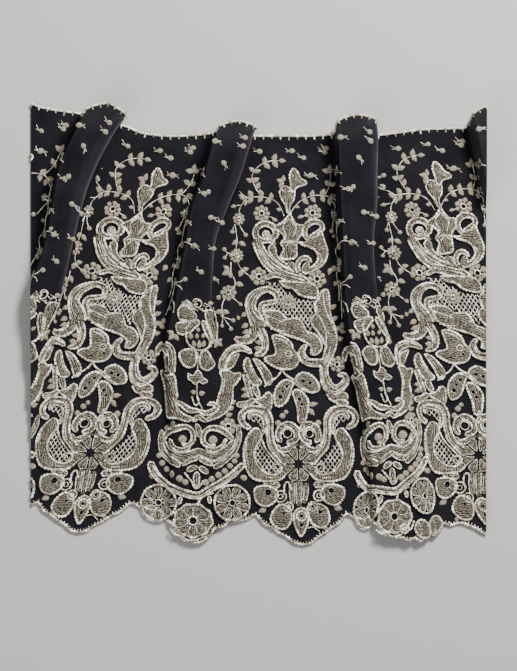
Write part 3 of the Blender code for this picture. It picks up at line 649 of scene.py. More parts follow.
def placedOn(tree, points, shape, turn, scale, **more):
    inputs = {"Points": points, "Instance": shape, "Rotation": turn, "Scale": scale, **more}
    return geoNode(tree, "GeometryNodeInstanceOnPoints", inputs).outputs[0]


treeSizes = {
    "stitchOver": 1.28,  # a stitch's radius in cord radii
    "stitchVaries": (0.85, 1.1),
    "legVaries": (0.75, 1.15),
    "legSides": 6,
}


def buildCordTree():
    # sweeps a round cord along every line, and wraps whipping stitches round it
    tree, given, result = newTree("cord along lines", {
        "Cord radius": 0.0006, "Sides": 6, "Stitches": True, "Stitch spacing": 0.0017,
        "Stitch width": 0.0007, "Stitch lean": 0.45, "Seed": 3,
    })
    thick = namedAttribute(tree, "thick", "FLOAT")
    line = geoNode(tree, "GeometryNodeMeshToCurve", {"Mesh": given["Geometry"]}).outputs[0]
    spline = geoNode(tree, "GeometryNodeSplineParameter").outputs
    line = storedOn(tree, line, "along", spline["Length"])
    inputs = {"Resolution": given["Sides"], "Radius": given["Cord radius"]}
    ring = geoNode(tree, "GeometryNodeCurvePrimitiveCircle", inputs).outputs[0]
    turn = geoNode(tree, "GeometryNodeSplineParameter").outputs
    ring = storedOn(tree, ring, "around", turn["Factor"])
    inputs = {"Curve": line, "Profile Curve": ring, "Scale": thick, "Fill Caps": True}
    cord = geoNode(tree, "GeometryNodeCurveToMesh", inputs).outputs[0]
    places = placesAlong(tree, line, given["Stitch spacing"])
    wide = mathNode(tree, "MULTIPLY", given["Cord radius"], treeSizes["stitchOver"])
    inputs = {"Vertices": given["Sides"], "Radius": wide, "Depth": given["Stitch width"]}
    stitch = geoNode(tree, "GeometryNodeMeshCylinder", inputs).outputs["Mesh"]
    lean = geoNode(tree, "ShaderNodeCombineXYZ", {"X": given["Stitch lean"]}).outputs[0]
    lean = geoNode(tree, "FunctionNodeEulerToRotation", {"Euler": lean}).outputs[0]
    inputs = {"Rotation": places["Rotation"], "Rotate By": lean}
    turned = geoNode(tree, "FunctionNodeRotateRotation", inputs, rotation_space="LOCAL").outputs[0]
    size = mathNode(tree, "MULTIPLY", thick, variedBetween(tree, given["Seed"], *treeSizes["stitchVaries"]))
    wrapped = placedOn(tree, places["Points"], stitch, turned, size, Selection=given["Stitches"])
    joined = geoNode(tree, "GeometryNodeJoinGeometry")
    for part in (cord, wrapped):
        tree.links.new(part, joined.inputs[0])
    endTree(tree, joined.outputs[0], given["Material"], result)
    return tree


def buildStudTree():
    # sets one small shape, such as a leaf, on every point, lying on the cloth and turned its way
    tree, given, result = newTree("leaves on points", {
        "Shape": "NodeSocketObject", "Size change": 0.1, "Seed": 5,
    })
    facing, heading, size = (
        namedAttribute(tree, name, "FLOAT_VECTOR") for name in ("facing", "heading", "size")
    )
    low, high = (mathNode(tree, sign, 1.0, given["Size change"]) for sign in ("SUBTRACT", "ADD"))
    size = scaledBy(tree, size, variedBetween(tree, given["Seed"], low, high))
    shape = geoNode(tree, "GeometryNodeObjectInfo", {"Object": given["Shape"]}).outputs["Geometry"]
    placed = placedOn(tree, given["Geometry"], shape, facingTurn(tree, facing, heading), size)
    endTree(tree, placed, given["Material"], result)
    return tree


def buildEdgeTree():
    # short legs at even steps along an edge, pointing from the cord into the net
    tree, given, result = newTree("legs along an edge", {
        "Leg spacing": 0.0047, "Leg length": 0.0018, "Leg thickness": 0.0008, "Seed": 7,
    })
    facing = namedAttribute(tree, "facing", "FLOAT_VECTOR")
    line = geoNode(tree, "GeometryNodeMeshToCurve", {"Mesh": given["Geometry"]}).outputs[0]
    places = placesAlong(tree, line, given["Leg spacing"])
    inputs = {"X": given["Leg thickness"], "Y": given["Leg length"], "Z": given["Leg thickness"]}
    size = geoNode(tree, "ShaderNodeCombineXYZ", inputs).outputs[0]
    inputs = {"Vertices": treeSizes["legSides"], "Radius": 0.5, "Depth": 1.0}
    leg = geoNode(tree, "GeometryNodeMeshCylinder", inputs).outputs["Mesh"]
    inputs = {"Geometry": leg, "Rotation": (math.pi / 2, 0, 0), "Translation": (0, -0.5, 0)}
    leg = geoNode(tree, "GeometryNodeTransform", inputs).outputs[0]
    size = scaledBy(tree, size, variedBetween(tree, given["Seed"], *treeSizes["legVaries"]))
    placed = placedOn(tree, places["Points"], leg, facingTurn(tree, facing, places["Tangent"]), size)
    endTree(tree, placed, given["Material"], result)
    return tree


trees = {"cord": buildCordTree(), "stud": buildStudTree(), "edge": buildEdgeTree()}
print("node trees ready")


def placedItem(name, data):
    item = bpy.data.objects.new(name, data)
    bpy.context.scene.collection.objects.link(item)
    return item


def newObject(name, points, edges, faces):
    mesh = bpy.data.meshes.new(name)
    mesh.from_pydata([tuple(p) for p in points], edges, faces)
    return placedItem(name, mesh)


def setAttribute(item, name, kind, values):
    made = item.data.attributes.new(name, kind, "POINT")
    key = "vector" if kind == "FLOAT_VECTOR" else "value"
    made.data.foreach_set(key, np.asarray(values, np.float32).ravel())


def grownFrom(item, tree, values):
    # runs a node tree on the object's mesh and keeps what it made as a plain mesh
    modifier = item.modifiers.new(tree.name, "NODES")
    modifier.node_group = tree
    for socket in tree.interface.items_tree:
        if socket.in_out == "INPUT" and socket.name in values:
            modifier[socket.identifier] = values[socket.name]
    graph = bpy.context.evaluated_depsgraph_get()
    made = bpy.data.meshes.new_from_object(
        item.evaluated_get(graph), preserve_all_data_layers=True, depsgraph=graph
    )
    item.modifiers.remove(modifier)
    item.data = made
    return item


limits = {"clear": 0.00002, "slack": 1e-6, "merge": 1e-7}  # metres


def cutAtEnds(item, closed):
    # both ends of the trim are plain straight cuts
    shape = bmesh.new()
    shape.from_mesh(item.data)
    for side in (-1, 1):
        everything = shape.verts[:] + shape.edges[:] + shape.faces[:]
        found = bmesh.ops.bisect_plane(
            shape, geom=everything, dist=limits["merge"], plane_co=(side * cutHalf, 0, 0),
            plane_no=(side, 0, 0), clear_outer=True,
        )
        if closed:
            rim = [e for e in found["geom_cut"] if isinstance(e, bmesh.types.BMEdge)]
            bmesh.ops.holes_fill(shape, edges=rim, sides=0)
    shape.to_mesh(item.data)
    shape.free()


def keepAboveFloor(item):
    # nothing is pressed into the surface that the trim lies on
    spots = np.zeros(len(item.data.vertices) * 3, np.float32)
    item.data.vertices.foreach_get("co", spots)
    spots[2::3] = np.maximum(spots[2::3], limits["clear"])
    item.data.vertices.foreach_set("co", spots)
    item.data.update()


def finishPiece(item, replaced=()):
    if max(abs(corner[0]) for corner in item.bound_box) > cutHalf + limits["slack"]:
        cutAtEnds(item, True)
    keepAboveFloor(item)
    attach(item, "root")
    if replaced:
        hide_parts(*replaced)


# Small shapes that are set on the net by the hundred, one unit long and wide


leafSizes = {
    "lengthwise": 6,
    "crosswise": 4,
    "bluntness": 0.04,  # how far the ends stop short of a sharp point
    "rimHeight": 0.35,
    "crown": 0.65,
    "leaf": (0.42, 0.6, 1.0, 0.62),  # widest place, base, tip and height
    "petal": (0.66, 0.85, 0.5, 0.6),
    "bead": (0.5, 0.55, 0.55, 0.75),
}


def leafShape(name, widest, base, tip):
    # a crowned closed pad from x = 0 to 1, widest at that share of its length; a high value of
    # base or tip makes that end pointed
    long, wide, blunt = leafSizes["lengthwise"], leafSizes["crosswise"], leafSizes["bluntness"]
    points, faces = [], []
    for level in (0, 1):
        for i in range(long + 1):
            s = i / long
            bent = s ** (math.log(0.5) / math.log(widest))
            half = 0.5 * max(blunt, math.sin(math.pi * bent)) ** (base if s < widest else tip)
            for j in range(wide + 1):
                t = 2 * j / wide - 1
                rise = (1 - t * t) * math.sin(math.pi * min(1 - blunt, max(blunt, s)))
                points.append((s, t * half, level * (leafSizes["rimHeight"] + leafSizes["crown"] * rise)))
    n = (long + 1) * (wide + 1)
    for i in range(long):
        for j in range(wide):
            a = i * (wide + 1) + j
            quad = (a, a + wide + 1, a + wide + 2, a + 1)
            faces.append(tuple(v + n for v in quad))
            faces.append(tuple(reversed(quad)))
    rim = [i * (wide + 1) for i in range(long + 1)]
    rim += [long * (wide + 1) + j for j in range(1, wide + 1)]
    rim += [i * (wide + 1) + wide for i in reversed(range(long))]
    rim += [j for j in reversed(range(1, wide))]
    for a, b in zip(rim, rim[1:] + rim[:1]):
        faces.append((b, a, a + n, b + n))
    item = newObject(name, points, [], faces)
    shape = bmesh.new()
    shape.from_mesh(item.data)
    bmesh.ops.recalc_face_normals(shape, faces=shape.faces)
    shape.to_mesh(item.data)
    shape.free()
    return item


shapes = {
    kind: {"object": leafShape(f"{kind} shape", *leafSizes[kind][:3]), "height": leafSizes[kind][3]}
    for kind in ("leaf", "petal", "bead")
}


# Charts. They are counted in squares, across and down, and show the cloth as it lies in its folds,
# each beside the repeat that it was drawn from; every repeat is then laid from the same flat places
chartSizes = {
    "unit": 0.56,  # mm a square
    "middle": 258.5,  # square across at the middle of the whole trim
    "footing": 136,  # square down at the footing, and its height up the trim in mm
    "footingUp": 105.4,
    "scroll": (297, 2, 0.0),  # square of the axis, the repeat, and the flat place of the axis in it
    "rose": (196, 1, 62.0),
    "step": 0.85,  # mm between the points of a line
    "inset": 0.4,  # how far a cord's middle lies inside the widest edge
    "padBase": 0.12,  # mm above the net
    "padEdge": 0.25,
    "padCrown": 0.7,
    "sharpFrom": 50,  # degrees between faces
    "cordLift": 0.66,
    "cordLiftShares": (0.45, 0.55),  # the part that stays and the part that goes with its thickness
    "hidden": 1.2,  # a place further inside a fold than this many mm isn't covered
    "lineEnds": 0.1,  # mm that lines stop short of the cut ends, and that pads go past them
    "padEnds": 3,
    "torn": 4,  # cells and lines stretched over more mm than this by a fold are left open
}
flattening = {"rounds": 60, "across": 0.7, "down": 0.8, "most": 1.5}


def toChart(points, chart):
    axis = chartSizes[chart][0]
    points = np.array(points, float)
    points[..., 0] = (points[..., 0] - axis) * chartSizes["unit"]
    points[..., 1] = (points[..., 1] - chartSizes["footing"]) * chartSizes["unit"]
    return points


def flattened(points, chart):
    # the flat place, beside the axis, and the depth at which each chart point lies on the folded cloth
    axis, pleat, offset = chartSizes[chart]
    start = pleat * cloth["repeat"] + offset
    points = np.atleast_2d(points)
    goalX = points[:, 0] + (axis - chartSizes["middle"]) * chartSizes["unit"]
    goalY = chartSizes["footingUp"] - points[:, 1]
    flat, depth = start + points[:, 0], points[:, 1].copy()
    most = flattening["most"]
    for _ in range(flattening["rounds"]):
        here = readTable(tablePoints, flat, depth)
        flat = flat + np.clip(flattening["across"] * (goalX - here[:, 0]), -most, most)
        depth = depth - np.clip(flattening["down"] * (goalY - here[:, 1]), -most, most)
    return np.stack([flat - start, depth], axis=1)


finePoints = 12  # between two knots, before the line is made even


def smoothLine(points, step, closed=False):
    # an even line through the points, which may carry a width as a third value
    points = np.array(points, float)
    if closed:
        knots = np.vstack([points[-1:], points, points[:2]])
    else:
        knots = np.vstack([2 * points[0] - points[1], points, 2 * points[-1] - points[-2]])
    fine = []
    t = np.linspace(0, 1, finePoints + 1)[:-1, None]
    for a, b, c, d in zip(knots, knots[1:], knots[2:], knots[3:]):
        bend = (2 * b) + (c - a) * t + (2 * a - 5 * b + 4 * c - d) * t**2 + (3 * b - a - 3 * c + d) * t**3
        fine.append(0.5 * bend)
    fine = np.vstack(fine + [knots[-2:-1]])
    lengths = np.concatenate([[0], np.cumsum(np.hypot(*np.diff(fine[:, :2], axis=0).T))])
    count = max(3, int(round(lengths[-1] / step)) + 1)
    at = np.linspace(0, lengths[-1], count)
    line = np.stack([np.interp(at, lengths, fine[:, k]) for k in range(fine.shape[1])], axis=1)
    return (line[:-1], at[:-1]) if closed else (line, at)


def chartLine(knots, chart):
    return smoothLine(toChart(knots, chart), chartSizes["step"])[0]


def sidesOf(line, closed=False):
    if closed:
        along = np.roll(line[:, :2], -1, axis=0) - np.roll(line[:, :2], 1, axis=0)
    else:
        along = np.gradient(line[:, :2], axis=0)
    along = along / (np.linalg.norm(along, axis=1, keepdims=True) + 1e-9)
    return np.stack([-along[:, 1], along[:, 0]], axis=1)


veins = {  # widths in mm from which a band has one vein and two, and their places across it
    "from": 2.9,
    "two": 4.6,
    "alone": 0.6,
    "beside": 0.2,
    "thick": 0.42,
    "lift": 0.4,
    "short": 6,  # points
}


def veinLines(shape, later):
    # raised threads along the inside of a wide band
    if "line" not in shape or len(shape["line"]) < 4 * veins["short"]:
        return []
    found = []
    width = shape["width"]
    sides = (-1, 1) if width.max() > veins["two"] else (veins["alone"],)
    for side in sides:
        line = shape["line"] + shape["sides"] * (side * veins["beside"] * width)[:, None]
        good = width > veins["from"]
        good[: veins["short"]] = False
        good[-veins["short"] :] = False
        good &= ~coveredBy(line, later)
        found += [run for run, _ in runsOf(line, good, False) if len(run) > veins["short"]]
    return found


def insideOf(points, outline):
    found = np.zeros(len(points), bool)
    x, y = points[:, 0], points[:, 1]
    for (ax, ay), (bx, by) in zip(outline, np.roll(outline, -1, axis=0)):
        if ay != by:
            crossing = (ay > y) != (by > y)
            found ^= crossing & (x < ax + (bx - ax) * (y - ay) / (by - ay))
    return found


bands = {
    "least": 0.5,  # mm wide
    "roundEnd": 0.5,  # reach of an end in widths
    "pointedEnd": 1.1,
    "pointedPower": 0.8,
    "endWidth": 0.15,
    "inward": 0.3,
    "crownWidth": 6,  # mm wide from which a band is crowned fully, and a patch's full crown from its edge
    "patchCrown": 2.6,
    "drawnIn": 0.3,
    "eyelet": 0.9,
}


def shapeOf(row, chart):
    # a piece of clothwork: a band along a line of (across, down, width), or a patch inside an edge
    thick = row.get("cord", 1.0)
    inset = chartSizes["inset"] * thick
    if "edge" in row:
        line, _ = smoothLine(toChart(row["edge"], chart), chartSizes["step"], True)
        sides = sidesOf(line, True)
        inward = insideOf(line + bands["inward"] * sides, line)[:, None] * 2.0 - 1
        return {"row": row, "thick": thick, "outline": line + inset * sides * inward}
    knots = np.array(row["line"], float)
    widths = knots[:, 2:3] * chartSizes["unit"] - 2 * inset
    line, at = smoothLine(np.hstack([toChart(knots[:, :2], chart), widths]), chartSizes["step"])
    width = np.maximum(line[:, 2], bands["least"])
    for end, place in ((0, at), (1, at[-1] - at)):
        style = row.get("ends", "rr")[end]
        if style in "rp":
            reach = width[-end] * bands["roundEnd" if style == "r" else "pointedEnd"]
            share = np.clip(place / max(reach, 0.01), 0, 1)
            taper = np.sqrt(1 - (1 - share) ** 2) if style == "r" else share ** bands["pointedPower"]
            width = width * np.maximum(bands["endWidth"], taper)
    sides = sidesOf(line)
    left = line[:, :2] + sides * width[:, None] / 2
    right = line[:, :2] - sides * width[:, None] / 2
    return {
        "row": row, "thick": thick, "outline": np.vstack([left, right[::-1]]),
        "line": line[:, :2], "at": at, "width": width, "sides": sides,
    }


def bandCells(band):
    m = int(max(2, round(band["width"].max() / chartSizes["step"])))
    t = np.linspace(-0.5, 0.5, m + 1)
    width = band["width"][:, None]
    points = band["line"][:, None] + band["sides"][:, None] * (width * t)[..., None]
    crown = (1 - (2 * t) ** 2) * np.minimum(1, width / bands["crownWidth"])
    uv = np.stack(np.broadcast_arrays(band["at"][:, None], width * t), axis=2)
    i, j = np.meshgrid(np.arange(len(width) - 1), np.arange(m), indexing="ij")
    a = (i * (m + 1) + j).ravel()
    cells = np.stack([a, a + m + 1, a + m + 2, a + 1], axis=1)
    return points.reshape(-1, 2), crown.ravel(), uv.reshape(-1, 2), cells


def patchCells(patch):
    # square cells inside the edge, the outermost corners drawn onto it
    outline, size = patch["outline"], chartSizes["step"]
    low, high = outline.min(axis=0) - size, outline.max(axis=0) + size
    xs, ys = np.arange(low[0], high[0] + size, size), np.arange(low[1], high[1] + size, size)
    points = np.stack(np.meshgrid(xs, ys), axis=2).reshape(-1, 2)
    i, j = np.meshgrid(np.arange(len(ys) - 1), np.arange(len(xs) - 1), indexing="ij")
    a = (i * len(xs) + j).ravel()
    cells = np.stack([a, a + 1, a + len(xs) + 1, a + len(xs)], axis=1)
    cells = cells[insideOf(points[cells].mean(axis=1), outline)]
    away = np.linalg.norm(points[:, None] - outline[None], axis=2)
    near = away.min(axis=1)
    outer = ~insideOf(points, outline) | (near < bands["drawnIn"] * size)
    points[outer] = outline[away.argmin(axis=1)[outer]]
    depth = np.where(outer, 0, np.minimum(1, near / bands["patchCrown"]))
    turn = math.radians(patch["row"].get("grain", 0))
    along = points @ (math.cos(turn), math.sin(turn))
    across = points @ (-math.sin(turn), math.cos(turn))
    return points, depth * (2 - depth), np.stack([along, across], axis=1), cells


def coveredBy(points, later):
    found = np.zeros(len(points), bool)
    for other in later:
        found |= insideOf(points, other["outline"])
    return found


def padOf(shape, holes, later):
    # the cells left when the eyelets and whatever a later piece covers are taken out
    points, crown, uv, cells = bandCells(shape) if "line" in shape else patchCells(shape)
    height = chartSizes["padEdge"] + chartSizes["padCrown"] * crown
    middles = points[cells].mean(axis=1)
    keep = ~coveredBy(middles, later)
    for x, y, radius in holes:
        keep &= np.hypot(*(middles - (x, y)).T) > radius * bands["eyelet"]
        away = points - (x, y)
        distance = np.hypot(*away.T)
        near = (distance < radius) & (distance > 0.01)
        points[near] = np.array((x, y)) + away[near] / distance[near, None] * radius
    return points, height, uv, cells[keep]


def outlineCords(shape, later):
    # the shape's cord, without the stretches that a later piece covers
    points = shape["outline"]
    hidden = coveredBy(points, later)
    if "line" in shape:
        style, n = shape["row"].get("ends", "rr"), len(shape["line"])
        if style[0] == "o":
            hidden[[0, 1, -1, -2]] = True
        if style[1] == "o":
            hidden[n - 2 : n + 2] = True
    return runsOf(points, ~hidden, True)


def runsOf(points, good, closed):
    # the stretches of a line that are good, each as its points and whether it is a ring
    order = np.arange(len(points))
    if closed and good.all():
        return [(points, True)]
    if closed:
        first = int(np.argmin(good))
        order = np.roll(order, -first)
    found, run = [], []
    for k in order:
        if good[k] and (not run or np.linalg.norm(points[k] - points[run[-1]]) < chartSizes["torn"]):
            run.append(k)
            continue
        if len(run) > 1:
            found.append((points[run], False))
        run = [k] if good[k] else []
    if len(run) > 1:
        found.append((points[run], False))
    return found


def wayAt(turn):
    return np.array([math.cos(turn), math.sin(turn)])


def ringLine(x, y, radius):
    count = max(10, int(2 * math.pi * radius / chartSizes["step"]))
    turn = np.linspace(0, 2 * math.pi, count, endpoint=False)
    return np.stack([x + radius * np.cos(turn), y + radius * np.sin(turn)], axis=1)


trellis = {"spacing": 2.05, "lean": 0.96, "step": 0.7, "thick": 0.42, "lift": -0.35}


def trellisLines(polygon):
    # crossing diagonal threads that fill a closed outline
    found = []
    low, high = polygon.min(axis=0), polygon.max(axis=0)
    reach = np.linalg.norm(high - low)
    middle = (low + high) / 2
    t = np.linspace(-reach / 2, reach / 2, int(reach / trellis["step"]))
    last = int(reach / trellis["spacing"])
    for turn in (trellis["lean"], -trellis["lean"]):
        along = wayAt(turn)
        across = np.array([-along[1], along[0]])
        for k in range(-last, last + 1):
            line = middle + across * k * trellis["spacing"] + along * t[:, None]
            found += [run for run, _ in runsOf(line, insideOf(line, polygon), False)]
    return found


fineWork = {  # lines as thickness and mm above the clothwork's cords; leaves, flowers and buds in squares
    "eyelet": (0.45, 0.25),
    "eyeletOver": 0.15,
    "lineLift": 0.25,
    "ringLift": 0.35,
    "stem": (0.46, -0.15),
    "pair": ((-62, 62), 7.6, 5.4),
    "sprig": ((-75, 0, 75), 7.8, 5.2),
    "flowerHole": 0.24,
    "flowerPetal": 0.74,
    "flowerMiddle": (0.32, 0.75, 0.2),
    "budBack": 2.8,
    "bud": (6.2, 5.4),
    "tailBack": 2,
    "tails": ((0.35, 5.0), (-0.55, 3.4)),
    "tailBend": 1.2,
    "tailStep": 0.6,
    "tail": (0.34, -0.15),
}


def drawChart(chart, rows):
    # everything that one motif is made of, in flat places beside its own axis
    shapesHere = [shapeOf(row, chart) for row in rows.get("pieces", ())]
    unit = chartSizes["unit"]
    holes = [(*toChart((x, y), chart), radius * unit) for x, y, radius in rows.get("holes", ())]
    drawn = {"pads": [], "cords": [], "fine": [], "studs": [], "chart": chart}
    for k, shape in enumerate(shapesHere):
        later = shapesHere[k + 1 :]
        points, height, uv, cells = padOf(shape, holes, later)
        drawn["pads"].append((flattened(points, chart), height, uv, cells))
        if shape["thick"]:
            for points, closed in outlineCords(shape, later):
                addLine(drawn, "cords", points, closed, shape["thick"], 0.0)
        for points in veinLines(shape, later):
            addLine(drawn, "fine", points, False, veins["thick"], veins["lift"])
    for x, y, radius in holes:
        ring = ringLine(x, y, radius + fineWork["eyeletOver"])
        addLine(drawn, "cords", ring, True, *fineWork["eyelet"])
    for thick, *lines in rows.get("lines", ()):
        for knots in lines:
            addLine(drawn, "cords", chartLine(knots, chart), False, thick, fineWork["lineLift"])
    for x, y, radius, thick in rows.get("rings", ()):
        ring = ringLine(*toChart((x, y), chart), radius * unit)
        addLine(drawn, "cords", ring, True, thick, fineWork["ringLift"])
    for polygon in rows.get("trellis", ()):
        for line in trellisLines(toChart(polygon, chart)):
            addLine(drawn, "fine", line, False, trellis["thick"], trellis["lift"])
    for knots in rows.get("stems", ()):
        addLine(drawn, "fine", chartLine(knots, chart), False, *fineWork["stem"])
    for kind in ("leaf", "petal"):
        for row in rows.get(kind, ()):
            addStud(drawn, kind, *row)
    for group, kind in (("pairs", "pair"), ("sprigs", "sprig")):
        leans, length, width = fineWork[kind]
        for x, y, heading in rows.get(group, ()):
            for lean in leans:
                addStud(drawn, "leaf", x, y, heading + lean, length, width)
    for x, y, radius in rows.get("beads", ()):
        addStud(drawn, "bead", x - radius, y, 0, 2 * radius, 2 * radius)
    for row in rows.get("flowers", ()):
        addFlower(drawn, *row)
    for row in rows.get("buds", ()):
        addBud(drawn, *row)
    return drawn


def addLine(drawn, kind, points, closed, thick, lift):
    drawn[kind].append((flattened(points, drawn["chart"]), closed, thick, lift))


def addStud(drawn, kind, x, y, heading, length, width):
    # the heading is in degrees, clockwise from right in the chart
    places = toChart((x, y), drawn["chart"]) + np.outer((0, 1), wayAt(math.radians(heading)))
    here, ahead = flattened(places, drawn["chart"])
    unit = chartSizes["unit"]
    drawn["studs"].append((kind, here, ahead - here, length * unit, width * unit, shapes[kind]["height"]))


def addFlower(drawn, x, y, radius, count, start):
    hole = radius * fineWork["flowerHole"]
    width = 2 * math.pi * radius * fineWork["flowerPetal"] / count
    for k in range(count):
        heading = start + 360 * k / count
        foot = (x, y) + hole * wayAt(math.radians(heading))
        addStud(drawn, "petal", *foot, heading, radius - hole, width)
    share, thick, lift = fineWork["flowerMiddle"]
    ring = ringLine(*toChart((x, y), drawn["chart"]), radius * share * chartSizes["unit"])
    addLine(drawn, "fine", ring, True, thick, lift)


def addBud(drawn, x, y, heading):
    # a round bud with two clipped thread tails
    turn = math.radians(heading)
    way = wayAt(turn)
    addStud(drawn, "bead", *((x, y) - way * fineWork["budBack"]), heading, *fineWork["bud"])
    foot = (x, y) - way * fineWork["tailBack"]
    for lean, length in fineWork["tails"]:
        tail = wayAt(turn + math.pi + lean)
        side = np.array([-tail[1], tail[0]])
        knots = [foot, foot + tail * length * 0.5, foot + tail * length + side * fineWork["tailBend"]]
        line, _ = smoothLine(toChart(knots, drawn["chart"]), fineWork["tailStep"])
        addLine(drawn, "fine", line, False, *fineWork["tail"])


def visibleAt(flat, depth):
    # on the face of the cloth and between its cut ends
    points, _ = onCloth(flat, depth)
    between = np.abs(points[:, 0]) < cutHalf - chartSizes["lineEnds"] * mm
    return (readTable(tableHidden, flat, depth) < chartSizes["hidden"]) & between


def inUse(faces, count):
    # the points that the faces use, and the faces numbered by them
    used = np.unique(np.concatenate([np.array(face) for face in faces]))
    place = np.full(count, -1)
    place[used] = np.arange(len(used))
    return used, [tuple(place[list(face)]) for face in faces]


def layPads(name, drawn, start):
    points, faces, uvs = [], [], []
    base = 0
    for flat, height, uv, cells in drawn["pads"]:
        if not len(cells):
            continue
        x, y = start + flat[:, 0], flat[:, 1]
        reach = np.abs(onCloth(x, y)[0][:, 0]) < cutHalf + chartSizes["padEnds"] * mm
        good = reach & (readTable(tableHidden, x, y) < chartSizes["hidden"])
        whole = np.ptp(flat[cells], axis=1).max(axis=1) < chartSizes["torn"]
        cells = cells[good[cells].all(axis=1) & whole].tolist()
        cells = [list(dict.fromkeys(cell)) for cell in cells]
        cells = [cell for cell in cells if len(cell) > 2]
        if not cells:
            continue
        sides = {(a, b) for cell in cells for a, b in zip(cell, cell[1:] + cell[:1])}
        n = len(flat)
        points += [onCloth(x, y, chartSizes["padBase"])[0], onCloth(x, y, chartSizes["padBase"] + height)[0]]
        faces += [tuple(base + n + v for v in cell) for cell in cells]
        faces += [tuple(base + v for v in reversed(cell)) for cell in cells]
        faces += [(base + a, base + b, base + n + b, base + n + a) for a, b in sides if (b, a) not in sides]
        uvs += [uv, uv]
        base += 2 * n
    if not faces:
        return None
    points, uvs = np.vstack(points), np.vstack(uvs)
    used, faces = inUse(faces, len(points))
    item = newObject(name, points[used], [], faces)
    giveUv(item, uvs[used])
    item.data.materials.append(materials["clothwork"])
    item.data.shade_smooth()
    item.data.set_sharp_from_angle(angle=math.radians(chartSizes["sharpFrom"]))
    cutAtEnds(item, True)
    return item


def giveUv(item, uvs):
    layer = item.data.uv_layers.new(name="UVMap")
    loops = np.zeros(len(item.data.loops), int)
    item.data.loops.foreach_get("vertex_index", loops)
    layer.data.foreach_set("uv", uvs[loops].astype(np.float32).ravel())


cordSizes = {
    "outline": {"Cord radius": 0.56 * mm, "Sides": 6, "Stitches": True, "Stitch spacing": 1.9 * mm,
                "Stitch width": 0.8 * mm, "Stitch lean": 0.5, "Seed": 3},
    "fine": {"Cord radius": 0.62 * mm, "Sides": 5, "Stitches": False},
}
studSizes = {"Size change": 0.1, "Seed": 5}


def layCords(name, lines, start, kind):
    points, edges, thicks = [], [], []
    stays, goes = chartSizes["cordLiftShares"]
    base = 0
    for line, closed, thick, lift in lines:
        line = line + (start, 0)
        for run, ring in runsOf(line, visibleAt(*line.T), closed):
            lifts = chartSizes["cordLift"] * (stays + goes * thick) + lift
            points.append(onCloth(*run.T, lifts)[0])
            count = len(run)
            thicks += [thick] * count
            edges += [(base + k, base + k + 1) for k in range(count - 1)]
            if ring:
                edges.append((base + count - 1, base))
            base += count
    if not points:
        return None
    item = newObject(name, np.vstack(points), edges, [])
    setAttribute(item, "thick", "FLOAT", thicks)
    return grownFrom(item, trees["cord"], {**cordSizes[kind], "Material": materials["cordonnet"]})


def layStuds(name, studs, start):
    made = []
    for kind, shape in shapes.items():
        rows = [stud for stud in studs if stud[0] == kind]
        if not rows:
            continue
        flat = np.array([row[1] for row in rows]) + (start, 0)
        ways = np.array([row[2] for row in rows])
        sizes = np.array([row[3:6] for row in rows]) * mm
        middles = flat + ways * sizes[:, :1] / mm / 2
        good = visibleAt(*flat.T) & visibleAt(*middles.T)
        if not good.any():
            continue
        flat, ways, sizes = flat[good], ways[good], sizes[good]
        here, normals = onCloth(*flat.T, chartSizes["padBase"])
        ahead, _ = onCloth(*(flat + ways).T, chartSizes["padBase"])
        item = newObject(f"{name}_{kind}", here, [], [])
        setAttribute(item, "facing", "FLOAT_VECTOR", normals)
        setAttribute(item, "heading", "FLOAT_VECTOR", (ahead - here) / mm)
        setAttribute(item, "size", "FLOAT_VECTOR", sizes)
        values = {**studSizes, "Shape": shape["object"], "Material": materials["leafwork"]}
        made.append(grownFrom(item, trees["stud"], values))
    return made


# Rows of the charts. A piece's "line" runs along its middle as (across, down, width); its "edge" goes
# round it. Its ends are r round, p pointed, o open or f flat. "cord" is how thick its cord is

